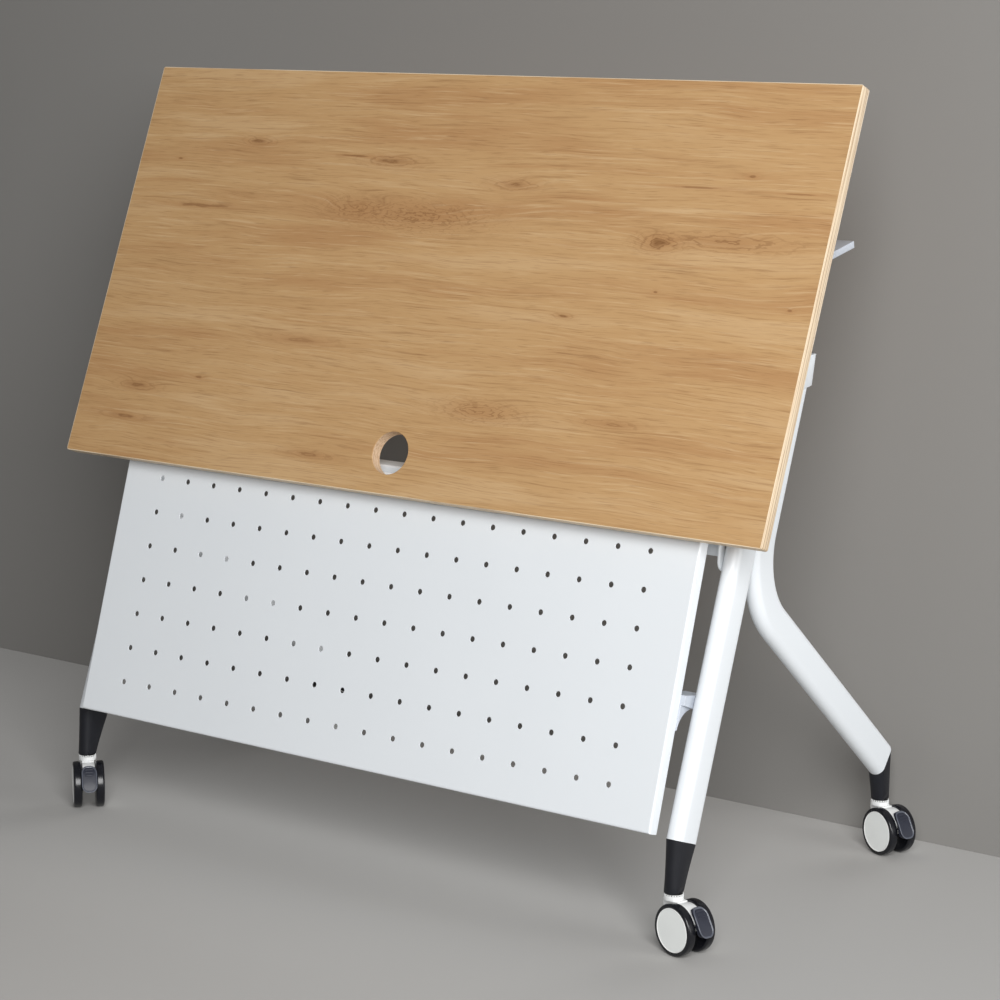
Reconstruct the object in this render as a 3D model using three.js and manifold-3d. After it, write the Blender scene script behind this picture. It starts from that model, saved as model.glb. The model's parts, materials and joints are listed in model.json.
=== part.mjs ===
// Flip top training table: a 1200 x 600 oak top that tilts up on two cast heads, a pair of bent
// flat-oval steel legs, a perforated modesty panel and four braked twin-wheel casters.
// Millimetres, +Z up, +X along the table, -Y the audience side, +Y the user's side.
// The origin is on the floor, midway between the caster stems. The top is shown tipped up.
import * as THREE from "three";
import { mergeVertices } from "three/addons/utils/BufferGeometryUtils.js";
import Module from "manifold-3d";

const wasm = await Module();
wasm.setup();

// Driving dimensions: the top
const TOP_LENGTH = 1200;
const TOP_DEPTH = 600;
const TOP_THICK = 18;
const TABLE_HEIGHT = 750;
const BAND_THICK = 1.2;
const CABLE_HOLE_D = 60;
const CABLE_HOLE_INSET = 58; // hole centre to the far edge

// Driving dimensions: the flip pivot
const PIVOT_DROP = 39.5; // pivot axis below the underside of the top
const PIVOT_INSET = 212.6; // pivot axis to the far edge
const FLIP_ANGLE = 68.8;
const PIVOT_PIN_D = 12;
const PIN_HEAD_D = 20;
const PIN_HEAD_T = 3;

// Driving dimensions: leg frames
const LEG_INSET = 83; // middle plane of each leg from the end of the top
const STEM_Y = 266.6; // caster stems, in front of and behind the origin
const TUBE_DEPTH = 50;
const TUBE_WIDTH = 25;
const TUBE_WALL = 2;
const MAIN_LEAN = 19.8; // upper run of the main tube, from upright
const MAIN_DROP = 39.2; // lower run of the main tube, below level
const MAIN_BEND_R = 117;
const MAIN_SETBACK = 76.7; // pivot to the main tube's centre line, level with the pivot
const MAIN_TOP_RISE = 7; // top end of the main tube above the pivot
const FRONT_TOP_DROP = 131.8; // where the front tube dies into the main tube, below the pivot
const FRONT_SINK = 7.9; // depth that its oval is let into the main tube's

// Driving dimensions: feet
const FOOT_BOTTOM_Z = 73;
const FOOT_D = 26;
const FRONT_FOOT_TOP_Z = 136;
const FRONT_FOOT_SHIFT = 14.3; // tube end behind the stem
const REAR_FOOT_TOP_Z = 132;
const REAR_FOOT_SHIFT = 5.3; // tube end in front of the stem
const FOOT_PLUG = 35;
const FOOT_ROUND = 1.5;

// Driving dimensions: pivot head
const HEAD_WIDTH = 32;
const HEAD_NOSE_R = 30;
const HEAD_BACK = 109.3; // lower back edge behind the pivot
const HEAD_BACK_LEAN = 11.5;
const HEAD_BELOW = 4.5; // back edge below the pivot
const HEAD_ABOVE = 35.5; // flat top above the pivot
const HEAD_TOP_FRONT = 28; // where the flat top starts, behind the pivot
const HEAD_LEVEL = 38; // near-level part of the underside, from the back edge
const HEAD_LEVEL_FALL = 2.9;
const HEAD_CORNER = 3.5; // rounding of the top back corner
const HEAD_SPIGOT = 30;
const GROOVE_R = 102.5; // floor of the latch groove, an arc about the pivot
const POCKET_R = 95; // floor of the latch pocket
const POCKET_LOW = 2.2; // pocket floor and roof above the pivot
const POCKET_HIGH = 12.5;
const STOP_LUG = 12; // depth of the lug that the bracket's web meets when the top is up

// Driving dimensions: top bracket
const SHEET = 3;
const CHEEK_GAP = 0.5;
const CHEEK_DROP = 24; // cheeks below the pivot
const PLATE_IN = 39; // plate edge from the leg plane, towards the middle
const PLATE_OUT = 67; // plate edge from the leg plane, towards the end
const PLATE_FRONT = 62; // plate edge in front of the pivot
const PLATE_BACK = 142; // plate edge behind the pivot
const CHEEK_BACK = 84; // cheeks end behind the pivot
const WEB_FRONT = 38; // cross web in front of the pivot
const WEB_DROP = 20; // web below the pivot

// Driving dimensions: locking lever
const LEVER_Y = 127; // lever pin behind the pivot
const LEVER_DROP = 10; // lever pin below the underside
const LEVER_PIN_D = 6;
const LEVER_HUB_R = 6.2;
const HUB_IN = 9; // hub end from the leg plane, towards the middle
const LEVER_THICK = 9;
const PADDLE_IN = 23; // paddle edges from the leg plane
const PADDLE_OUT = 58;
const PADDLE_REACH = 83.5; // paddle tip behind the lever pin
const PADDLE_DROP = 78; // paddle tip below the lever pin
const HOOK_WIDTH = 12;
const HOOK_THICK = 7;
const HOOK_REACH = 21; // hook tip in front of the lever pin, unlocked
const HOOK_DROP = 32; // hook tip below the lever pin, unlocked
const EAR_R = 8.5;

// Driving dimensions: crossbeam
const BEAM_AHEAD = 40.6; // middle of the beam in front of the pivot
const BEAM_DROP = 181.5; // and below it
const BEAM_TALL = 60;
const BEAM_DEEP = 36;
const END_PLATE_TALL = 104;
const END_PLATE_DEEP = 61;
const END_PLATE_RISE = 4; // plate middle above the beam's middle
const END_PLATE_ROUND = 14;

// Driving dimensions: modesty panel
const PANEL_GAP = 7; // between the panel and each leg
const PANEL_HEIGHT = 404;
const PANEL_SHEET = 1.5;
const PANEL_FLANGE = 17;
const PANEL_LEAN = 16.49;
const PANEL_AHEAD = 151.3; // front face, at the middle of the panel, in front of the pivot
const PANEL_DROP = 346.9; // and below it
const HOLE_DROP = 2; // middle of the holes below the middle of the panel
const HOLE_PITCH = 50;
const HOLE_D = 7;
const HOLE_MARGIN = 50; // least distance from a hole to the panel's edge
const HOLE_SIDES = 8;

// Driving dimensions: panel brackets
const CORBEL_TOP = -24.3; // up the panel, from its middle
const CORBEL_TALL = 46;
const CORBEL_FALL = 9; // top edge lower at the leg
const CORBEL_LEG_TALL = 12;
const CORBEL_LEG_REACH = 14; // past the front tube's centre line
const CORBEL_WIDTH = 34;
const CORBEL_ROOT = 5; // thickness behind the panel's flange, at the foot
const HANGER_INSET = 167; // strap from the leg's middle plane
const HANGER_WIDTH = 40;
const HANGER_FOOT = 24;
const HANGER_DOWN = 4; // arm below the beam's middle

// Driving dimensions: casters
const TRAIL = 22.5;
const WHEEL_R = 33.5;
const WHEEL_WIDTH = 12.5;
const WHEEL_GAP = 20;
const DISC_R = 28.4;
const DISC_RECESS = 2.4;
const DISC_DOME = 0.5;
const AXLE_D = 8;
const COLLAR_D = 26;
const COLLAR_TALL = 6;
const NECK_WIDTH = 18;
const HOOD_R = 31;
const BOSS_R = 11;
const STEM_D = 11;
const STEM_UP = 28;
const STEM_DOWN = 22;
const STEM_FLANGE_D = 24;
const STEM_FLANGE_T = 2;
const PEDAL_R = 35.1; // inner face of the pedal, about the axle
const PEDAL_THICK = 3.2;
const PEDAL_WIDTH = 22;
const PEDAL_TOP = 57; // angles of the pedal's ends about the axle, from level
const PEDAL_LIP = -4;
const BRAKE_X = 16; // pedal hinge from the axle
const BRAKE_Z = 11;
const TRUNNION_D = 5;
const PEDAL_LUG = 9; // width of the pedal lug

// Clearances
const SEAT = 0.3; // between pieces that touch
const RUNNING = 0.4; // radial, round a pin

// Values that follow from the sizes above
const rad = THREE.MathUtils.degToRad;
const PIVOT_Y = PIVOT_INSET - TOP_DEPTH / 2;
const PIVOT_Z = TABLE_HEIGHT - TOP_THICK - PIVOT_DROP;
const LEG_X = TOP_LENGTH / 2 - LEG_INSET;
const TUBE_FLAT = (TUBE_DEPTH - TUBE_WIDTH) / 2;
const BEAM_Y = PIVOT_Y - BEAM_AHEAD;
const BEAM_Z = PIVOT_Z - BEAM_DROP;
const PANEL_Y = PIVOT_Y - PANEL_AHEAD;
const PANEL_Z = PIVOT_Z - PANEL_DROP;
const PANEL_WIDTH = 2 * (LEG_X - TUBE_WIDTH / 2 - PANEL_GAP);
const HOLE_COLUMNS = Math.floor((PANEL_WIDTH - 2 * HOLE_MARGIN) / HOLE_PITCH) + 1;
const HOLE_ROWS = Math.floor((PANEL_HEIGHT - 2 * HOLE_MARGIN) / HOLE_PITCH) + 1;
const PANEL_UP = new THREE.Vector2(Math.sin(rad(PANEL_LEAN)), Math.cos(rad(PANEL_LEAN)));
const WHEEL_Y = (WHEEL_GAP + WHEEL_WIDTH) / 2;

const painted = (color) =>
  new THREE.MeshStandardMaterial({ color, roughness: 0.45, metalness: 0.1 });
const moulded = (color, roughness) =>
  new THREE.MeshStandardMaterial({ color, roughness, metalness: 0 });
const OAK = moulded(0xc9995f, 0.5);
const PLY_EDGE = moulded(0xdcc39c, 0.6);
const WHITE_PAINT = painted(0xeef0f2);
const BLACK_PLASTIC = moulded(0x17181c, 0.5);
const WHITE_PLASTIC = moulded(0xf2f1ec, 0.4);
const TREAD = moulded(0x1a1a1d, 0.7);
const STEEL = new THREE.MeshStandardMaterial({ color: 0xb4b4b0, roughness: 0.35, metalness: 1 });

// A closed geometry as a solid that can be cut and joined, and back again
function solid(geometry) {
  const bare = geometry.index ? geometry.toNonIndexed() : geometry.clone();
  bare.deleteAttribute("normal");
  bare.deleteAttribute("uv");
  const merged = mergeVertices(bare, 1e-4);
  const index = merged.index.array;
  const triangles = [];
  for (let i = 0; i < index.length; i += 3) {
    const [a, b, c] = [index[i], index[i + 1], index[i + 2]];
    if (a !== b && b !== c && c !== a) triangles.push(a, b, c);
  }
  const vertProperties = merged.attributes.position.array;
  const triVerts = new Uint32Array(triangles);
  return new wasm.Manifold(new wasm.Mesh({ numProp: 3, vertProperties, triVerts }));
}

function geometryOf(body) {
  const { numProp, vertProperties, triVerts } = body.getMesh();
  const geometry = new THREE.BufferGeometry().setIndex(new THREE.BufferAttribute(triVerts, 1));
  return geometry.setAttribute("position", new THREE.BufferAttribute(vertProperties, numProp));
}

// Joins the first solid with the rest
const join = (first, ...rest) => rest.reduce((a, b) => a.add(b), first);
const cut = (first, ...rest) => rest.reduce((a, b) => a.subtract(b), first);

// Extrudes a (y, z) outline along X, or an (x, z) outline along Y, between two places
const ALONG_X = new THREE.Matrix4().makeBasis(
  new THREE.Vector3(0, 1, 0),
  new THREE.Vector3(0, 0, 1),
  new THREE.Vector3(1, 0, 0),
);
const ALONG_Y = new THREE.Matrix4().makeBasis(
  new THREE.Vector3(1, 0, 0),
  new THREE.Vector3(0, 0, 1),
  new THREE.Vector3(0, -1, 0),
);

function prism(shape, length, curveSegments) {
  const options = { depth: length, bevelEnabled: false, curveSegments };
  return new THREE.ExtrudeGeometry(shape, options);
}

function alongX(shape, from, to, curveSegments = 6) {
  const geometry = prism(shape, to - from, curveSegments).applyMatrix4(ALONG_X);
  return solid(geometry.translate(from, 0, 0));
}

function alongY(shape, from, to, curveSegments = 6) {
  const geometry = prism(shape, to - from, curveSegments).applyMatrix4(ALONG_Y);
  return solid(geometry.translate(0, to, 0));
}

function rodX(r, from, to, y, z, sides = 16) {
  const geometry = new THREE.CylinderGeometry(r, r, to - from, sides).rotateZ(Math.PI / 2);
  return solid(geometry.translate((from + to) / 2, y, z));
}

function rodY(r, from, to, x, z, sides = 16) {
  const geometry = new THREE.CylinderGeometry(r, r, to - from, sides);
  return solid(geometry.translate(x, (from + to) / 2, z));
}

function rodZ(r, from, to, sides = 16) {
  const geometry = new THREE.CylinderGeometry(r, r, to - from, sides).rotateX(Math.PI / 2);
  return solid(geometry.translate(0, 0, (from + to) / 2));
}

function block(x0, x1, y0, y1, z0, z1) {
  const geometry = new THREE.BoxGeometry(x1 - x0, y1 - y0, z1 - z0);
  return solid(geometry.translate((x0 + x1) / 2, (y0 + y1) / 2, (z0 + z1) / 2));
}

// The outline of a strip of even thickness along a smooth curve through the points
function strip(points, thick, steps, smooth = true) {
  const spline = new THREE.SplineCurve(points);
  const line = smooth ? spline.getSpacedPoints(steps) : points;
  const sides = line.map((p, i) => {
    const before = line[Math.max(i - 1, 0)];
    const after = line[Math.min(i + 1, line.length - 1)];
    const inward = p.clone().sub(before).normalize();
    const outward = after.clone().sub(p).normalize();
    const run = inward.clone().add(outward).normalize();
    const stretch = i > 0 && i < line.length - 1 ? 1 / run.dot(outward) : 1;
    return new THREE.Vector2(-run.y, run.x).multiplyScalar((thick / 2) * stretch);
  });
  const left = line.map((p, i) => p.clone().add(sides[i]));
  const right = line.map((p, i) => p.clone().sub(sides[i]));
  return new THREE.Shape([...right, ...left.reverse()]);
}

// A flat-oval ring of points: two half rounds, set apart along the direction `deep`, in a plane with X
const HALF_ROUND_STEPS = 6;
function ovalRing(y, z, deep, flat, r) {
  const ring = [];
  for (const end of [1, -1]) {
    for (let i = 0; i <= HALF_ROUND_STEPS; i++) {
      const turn = (Math.PI * i) / HALF_ROUND_STEPS - Math.PI / 2;
      const out = end * (flat + r * Math.cos(turn));
      ring.push(new THREE.Vector3(end * r * Math.sin(turn), y + deep.x * out, z + deep.y * out));
    }
  }
  return ring;
}

// A closed skin through rings of equal count, with flat ends, turned so that its faces point out
function loft(rings) {
  const count = rings[0].length;
  const points = rings.flat();
  const faces = [];
  for (let i = 0; i + 1 < rings.length; i++) {
    for (let j = 0; j < count; j++) {
      const [a, b] = [i * count + j, i * count + ((j + 1) % count)];
      faces.push(a, b, b + count, a, b + count, a + count);
    }
  }
  const last = points.length - count;
  for (let j = 1; j + 1 < count; j++) {
    faces.push(0, j + 1, j, last, last + j, last + j + 1);
  }
  const skin = (index) => solid(new THREE.BufferGeometry().setFromPoints(points).setIndex(index));
  const made = skin(faces);
  return made.volume() > 0 ? made : skin(faces.slice().reverse());
}

const plane = (angle) => new THREE.Vector2(Math.cos(angle), Math.sin(angle));
const table = new THREE.Group();

function place(parent, name, body, material) {
  const mesh = new THREE.Mesh(geometryOf(body), material);
  mesh.name = name;
  parent.add(mesh);
}

// Tabletop and edge band, drawn level about the pivot axis and tipped up together
const top = new THREE.Group();
top.position.set(0, PIVOT_Y, PIVOT_Z);
top.rotation.x = rad(FLIP_ANGLE);
table.add(top);

const farEdge = -PIVOT_INSET;
const nearEdge = TOP_DEPTH - PIVOT_INSET;
const underside = PIVOT_DROP;
const topFace = PIVOT_DROP + TOP_THICK;
const holeY = farEdge + CABLE_HOLE_INSET;
const coreX = TOP_LENGTH / 2 - BAND_THICK - SEAT;
const board = block(
  -coreX,
  coreX,
  farEdge + BAND_THICK + SEAT,
  nearEdge - BAND_THICK - SEAT,
  underside,
  topFace,
);
const HOLE_FACETS = 32;
const cableCut = new THREE.CylinderGeometry(CABLE_HOLE_D / 2, CABLE_HOLE_D / 2, 3 * TOP_THICK, HOLE_FACETS)
  .rotateX(Math.PI / 2)
  .translate(0, holeY, underside);
place(top, "tabletop", cut(board, solid(cableCut)), OAK);

const bandX = TOP_LENGTH / 2;
const bandOuter = block(-bandX, bandX, farEdge, nearEdge, underside, topFace);
const bandInner = block(
  BAND_THICK - bandX,
  bandX - BAND_THICK,
  farEdge + BAND_THICK,
  nearEdge - BAND_THICK,
  underside - TOP_THICK,
  topFace + TOP_THICK,
);
place(top, "edge_band", cut(bandOuter, bandInner), PLY_EDGE);

// Main leg tube: a leaning upper run, one bend, and a lower run out to the rear foot
const upAlong = plane(rad(90 - MAIN_LEAN));
const downAlong = plane(rad(-MAIN_DROP));
const mainTop = new THREE.Vector2(PIVOT_Y + MAIN_SETBACK, PIVOT_Z).addScaledVector(
  upAlong,
  MAIN_TOP_RISE / upAlong.y,
);
const mainEnd = new THREE.Vector2(STEM_Y - REAR_FOOT_SHIFT, REAR_FOOT_TOP_Z);
const upperRun = mainTop.clone().sub(mainEnd).cross(downAlong) / upAlong.cross(downAlong);
const mainCorner = mainTop.clone().addScaledVector(upAlong, -upperRun);
const bendTurn = rad(90 + MAIN_LEAN - MAIN_DROP);
const bendStart = mainCorner.clone().addScaledVector(upAlong, MAIN_BEND_R * Math.tan(bendTurn / 2));
const towardsHub = (turn) => plane(rad(-MAIN_LEAN) + turn);
const bendHub = bendStart.clone().addScaledVector(towardsHub(0), MAIN_BEND_R);
const BEND_STEPS = 8;

// The main tube's shape with its section grown by `grow` and its ends moved out by `over`
function mainTube(grow, over) {
  const ring = (at, deep) => ovalRing(at.x, at.y, deep, TUBE_FLAT, TUBE_WIDTH / 2 + grow);
  const rings = [ring(mainTop.clone().addScaledVector(upAlong, over), towardsHub(0))];
  for (let i = 0; i <= BEND_STEPS; i++) {
    const deep = towardsHub((bendTurn * i) / BEND_STEPS);
    rings.push(ring(bendHub.clone().addScaledVector(deep, -MAIN_BEND_R), deep));
  }
  rings.push(ring(mainEnd.clone().addScaledVector(downAlong, over), towardsHub(bendTurn)));
  return loft(rings);
}
const mainSolid = cut(mainTube(0, 0), mainTube(-TUBE_WALL, SHEET));

// Front leg tube: straight, coped round the main tube and closed by a mitre at its top
const frontEnd = new THREE.Vector2(FRONT_FOOT_SHIFT - STEM_Y, FRONT_FOOT_TOP_Z);
const frontTop = mainTop
  .clone()
  .addScaledVector(upAlong, -(MAIN_TOP_RISE + FRONT_TOP_DROP) / upAlong.y)
  .addScaledVector(towardsHub(0), FRONT_SINK - TUBE_DEPTH);
const frontLength = frontTop.distanceTo(frontEnd);
const frontAlong = frontTop.clone().sub(frontEnd).normalize();
const frontDeep = new THREE.Vector2(frontAlong.y, -frontAlong.x);
const frontPoint = (along) => frontEnd.clone().addScaledVector(frontAlong, along);

function frontTube(grow, from, to) {
  const r = TUBE_WIDTH / 2 + grow;
  const ends = [from, to].map((along) => frontPoint(along));
  return loft(ends.map((at) => ovalRing(at.x, at.y, frontDeep, TUBE_FLAT, r)));
}
const mitre = new THREE.Shape(
  [
    [-TUBE_DEPTH, -TUBE_DEPTH],
    [TUBE_DEPTH, TUBE_DEPTH],
    [-TUBE_DEPTH, TUBE_DEPTH],
  ].map(([y, z]) => frontPoint(frontLength).add(new THREE.Vector2(y, z))),
);
const FRONT_BORE = 0.6; // share of the tube that the coped end leaves hollow
const frontSolid = cut(
  frontTube(0, 0, frontLength),
  mainTube(SEAT, 0),
  alongX(mitre, -TUBE_WIDTH, TUBE_WIDTH),
  frontTube(-TUBE_WALL, -SHEET, FRONT_BORE * frontLength),
);
const coped = frontSolid.decompose().sort((a, b) => b.volume() - a.volume())[0];

// Feet: a moulded plug in the tube end that tapers down to the round caster socket
function foot(end, along, deep, stemY) {
  const r = TUBE_WIDTH / 2;
  const level = new THREE.Vector2(1, 0);
  const seatAt = end.clone().addScaledVector(along, SEAT);
  const plugTop = end.clone().addScaledVector(along, -FOOT_PLUG);
  const plugR = r - TUBE_WALL - SEAT;
  const skin = loft([
    ovalRing(seatAt.x, seatAt.y, deep, TUBE_FLAT, r),
    ovalRing(stemY, FOOT_BOTTOM_Z + FOOT_ROUND, level, SEAT, FOOT_D / 2),
    ovalRing(stemY, FOOT_BOTTOM_Z, level, SEAT, FOOT_D / 2 - FOOT_ROUND),
  ]);
  const sunk = seatAt.clone().addScaledVector(along, SHEET);
  const plug = loft([
    ovalRing(plugTop.x, plugTop.y, deep, TUBE_FLAT, plugR),
    ovalRing(sunk.x, sunk.y, deep, TUBE_FLAT, plugR),
  ]);
  const socket = rodZ(STEM_D / 2 + RUNNING, FOOT_BOTTOM_Z - SHEET, FOOT_BOTTOM_Z + STEM_UP + SEAT);
  return cut(join(skin, plug), socket.translate(0, stemY, 0));
}
const frontFoot = foot(frontEnd, frontAlong.clone().negate(), frontDeep, -STEM_Y);
const rearFoot = foot(mainEnd, downAlong, towardsHub(bendTurn), STEM_Y);

// Pivot head: a casting that caps the main tube and carries the flip pivot in its nose.
// Its side outline is drawn about the pivot, and its back is rounded like the tube.
const tangentFrom = (y, z, r) => Math.acos(r / Math.hypot(y, z));
function headOutline() {
  const backAt = (z) => HEAD_BACK + (HEAD_BELOW + z) * Math.tan(rad(HEAD_BACK_LEAN));
  const backHigh = [backAt(HEAD_ABOVE), HEAD_ABOVE];
  const topFront = [HEAD_TOP_FRONT, HEAD_ABOVE];
  const levelEnd = [HEAD_BACK - HEAD_LEVEL, -HEAD_BELOW - HEAD_LEVEL_FALL];
  const noseTop = Math.atan2(HEAD_ABOVE, HEAD_TOP_FRONT) + tangentFrom(...topFront, HEAD_NOSE_R);
  const noseLow = Math.atan2(levelEnd[1], levelEnd[0]) - tangentFrom(...levelEnd, HEAD_NOSE_R);
  const outline = new THREE.Shape();
  outline.moveTo(...levelEnd);
  outline.lineTo(HEAD_BACK, -HEAD_BELOW);
  outline.lineTo(backAt(HEAD_ABOVE - HEAD_CORNER), HEAD_ABOVE - HEAD_CORNER);
  outline.quadraticCurveTo(...backHigh, backHigh[0] - HEAD_CORNER, HEAD_ABOVE);
  outline.lineTo(...topFront);
  outline.absarc(0, 0, HEAD_NOSE_R, noseTop, noseLow + 2 * Math.PI, false);
  return outline;
}
// A sector between two radii about a centre
function sector(rIn, rOut, from, to) {
  const shape = new THREE.Shape();
  shape.absarc(0, 0, rIn, from, to, false);
  shape.absarc(0, 0, rOut, to, from, true);
  return shape;
}
const webFoot = [-WEB_FRONT - SHEET, -WEB_DROP - SEAT];
const stopLug = new THREE.Shape(
  [
    webFoot,
    [webFoot[0], webFoot[1] - STOP_LUG / 2],
    [-HEAD_NOSE_R / 2, -HEAD_NOSE_R - STOP_LUG / 4],
    [-HEAD_NOSE_R / 3, webFoot[1]],
  ].map(([y, z]) => new THREE.Vector2(y, z).rotateAround(new THREE.Vector2(), rad(FLIP_ANGLE))),
);
const headHalf = HEAD_WIDTH / 2;
const headRing = (z) => {
  const back = HEAD_BACK + (z + HEAD_BELOW) * Math.tan(rad(HEAD_BACK_LEAN)) - headHalf;
  const front = -2 * HEAD_NOSE_R;
  const level = new THREE.Vector2(1, 0);
  return ovalRing((front + back) / 2, z, level, (back - front) / 2, headHalf);
};
const HOOK_PLAY = 2;
const grooveHalf = HOOK_WIDTH / 2 + HOOK_PLAY;
const groove = sector(GROOVE_R, 2 * GROOVE_R, rad(-HEAD_BELOW * 4), rad(HEAD_ABOVE));
const aboutPivot = (body) => body.translate(0, PIVOT_Y, PIVOT_Z);
const headBlock = alongX(headOutline(), -headHalf, headHalf, 14).intersect(
  loft([headRing(-2 * HEAD_NOSE_R), headRing(2 * HEAD_ABOVE)]),
);
const headBody = cut(
  join(headBlock, alongX(stopLug, -headHalf, headHalf)),
  rodX(PIVOT_PIN_D / 2 + RUNNING, -HEAD_WIDTH, HEAD_WIDTH, 0, 0),
);
const latch = join(
  alongX(groove, -grooveHalf, grooveHalf, 8),
  block(-grooveHalf, grooveHalf, POCKET_R, HEAD_BACK, POCKET_LOW, POCKET_HIGH),
);
const spigotEnds = [-HEAD_SPIGOT, SHEET].map((along) => mainTop.clone().addScaledVector(upAlong, along));
const spigotR = TUBE_WIDTH / 2 - TUBE_WALL - SEAT;
const spigot = loft(spigotEnds.map((at) => ovalRing(at.x, at.y, towardsHub(0), TUBE_FLAT, spigotR)));
const capped = join(cut(aboutPivot(headBody), mainTube(SEAT, SEAT)), spigot);
const headSolid = cut(capped, aboutPivot(latch));

// Top bracket: a pressed plate under the top with cheeks round the head, a stop web and lever ears
const plateTop = underside - SEAT;
const plateLow = plateTop - SHEET;
const leverZ = underside - LEVER_DROP;
const cheekIn = headHalf + CHEEK_GAP;
const cheekOutline = new THREE.Shape();
cheekOutline.moveTo(-WEB_FRONT - SHEET, plateLow);
cheekOutline.lineTo(-WEB_FRONT - SHEET, -WEB_DROP);
cheekOutline.quadraticCurveTo(-WEB_FRONT, -CHEEK_DROP, -CHEEK_DROP, -CHEEK_DROP);
cheekOutline.lineTo(CHEEK_DROP / 2, -CHEEK_DROP);
cheekOutline.quadraticCurveTo(CHEEK_BACK / 2, 0, CHEEK_BACK, plateLow - SHEET);
cheekOutline.lineTo(CHEEK_BACK, plateLow + SHEET / 2);
cheekOutline.lineTo(-WEB_FRONT - SHEET, plateLow + SHEET / 2);
const earOutline = new THREE.Shape();
earOutline.moveTo(LEVER_Y - EAR_R, plateLow + SHEET / 2);
earOutline.absarc(LEVER_Y, leverZ, EAR_R, Math.PI, 2 * Math.PI, false);
earOutline.lineTo(LEVER_Y + EAR_R, plateLow + SHEET / 2);
const earIn = -HUB_IN - SHEET - 2 * SEAT;
const earOut = PADDLE_OUT + 2 * SEAT;
const bracketSolid = cut(
  join(
    block(-PLATE_IN, PLATE_OUT, -PLATE_FRONT, PLATE_BACK, plateLow, plateTop),
    alongX(cheekOutline, cheekIn, cheekIn + SHEET),
    alongX(cheekOutline, -cheekIn - SHEET, -cheekIn),
    block(-cheekIn - 1, cheekIn + 1, -WEB_FRONT - SHEET, -WEB_FRONT, -WEB_DROP, plateLow + 1),
    alongX(earOutline, earIn, earIn + SHEET),
    alongX(earOutline, earOut, earOut + SHEET),
  ),
  rodX(PIVOT_PIN_D / 2 + RUNNING, -PLATE_OUT, PLATE_OUT, 0, 0),
  rodX(LEVER_PIN_D / 2 + RUNNING, -2 * PLATE_OUT, 2 * PLATE_OUT, LEVER_Y, leverZ, 12),
);

// Pivot pin: a headed pin through both cheeks and the head's nose, with a washer riveted on
const pinFace = cheekIn + SHEET + SEAT;
const pivotPin = join(
  rodX(PIVOT_PIN_D / 2, -pinFace - 1, pinFace + 1, 0, 0),
  rodX(PIN_HEAD_D / 2, pinFace, pinFace + PIN_HEAD_T, 0, 0),
  rodX(PIN_HEAD_D / 2, -pinFace - PIN_HEAD_T, -pinFace, 0, 0),
);

// Locking lever: hub, hook for the head's pocket, and the hand paddle, drawn unlocked
const leverPoint = (y, z) => new THREE.Vector2(LEVER_Y + y, leverZ + z);
const paddleLine = [
  leverPoint(0, 0),
  leverPoint(PADDLE_REACH * 0.28, -1),
  leverPoint(PADDLE_REACH * 0.47, -PADDLE_DROP * 0.15),
  leverPoint(PADDLE_REACH * 0.66, -PADDLE_DROP * 0.44),
  leverPoint(PADDLE_REACH, -PADDLE_DROP),
];
const hookLine = [
  leverPoint(0, 0),
  leverPoint(-HOOK_REACH * 0.1, -HOOK_DROP * 0.38),
  leverPoint(-HOOK_REACH * 0.43, -HOOK_DROP * 0.78),
  leverPoint(-HOOK_REACH, -HOOK_DROP),
];
const leverSolid = cut(
  join(
    rodX(LEVER_HUB_R, -HUB_IN, PADDLE_OUT, LEVER_Y, leverZ),
    alongX(strip(paddleLine, LEVER_THICK, 12), PADDLE_IN, PADDLE_OUT),
    alongX(strip(hookLine, HOOK_THICK, 6), -HOOK_WIDTH / 2, HOOK_WIDTH / 2),
  ),
  rodX(LEVER_PIN_D / 2 + RUNNING, -PLATE_OUT, 2 * PADDLE_OUT, LEVER_Y, leverZ, 12),
);
const leverPin = rodX(LEVER_PIN_D / 2, earIn - 1, earOut + SHEET + 1, LEVER_Y, leverZ, 12);

// Crossbeam: a box tube welded between two round-cornered end plates on the legs' inner faces
const beamEnd = LEG_X - TUBE_WIDTH / 2 - SEAT;
const wide = (w, h, r) => {
  const shape = new THREE.Shape();
  shape.absarc(w / 2 - r, h / 2 - r, r, 0, Math.PI / 2, false);
  shape.absarc(r - w / 2, h / 2 - r, r, Math.PI / 2, Math.PI, false);
  shape.absarc(r - w / 2, r - h / 2, r, Math.PI, 1.5 * Math.PI, false);
  shape.absarc(w / 2 - r, r - h / 2, r, 1.5 * Math.PI, 2 * Math.PI, false);
  return shape;
};
const beamAt = (body) => body.translate(0, BEAM_Y, BEAM_Z);
const endPlate = wide(END_PLATE_DEEP, END_PLATE_TALL, END_PLATE_ROUND);
const plateAt = (from, to) => alongX(endPlate, from, to, 4).translate(0, 0, END_PLATE_RISE);
const beamSolid = cut(
  join(
    alongX(wide(BEAM_DEEP, BEAM_TALL, SHEET), 1 - beamEnd, beamEnd - 1, 3),
    plateAt(beamEnd - SHEET, beamEnd),
    plateAt(-beamEnd, SHEET - beamEnd),
  ),
  alongX(wide(BEAM_DEEP - 2 * TUBE_WALL, BEAM_TALL - 2 * TUBE_WALL, 1), -LEG_X, LEG_X, 1),
);
place(table, "crossbeam", beamAt(beamSolid), WHITE_PAINT);

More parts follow.
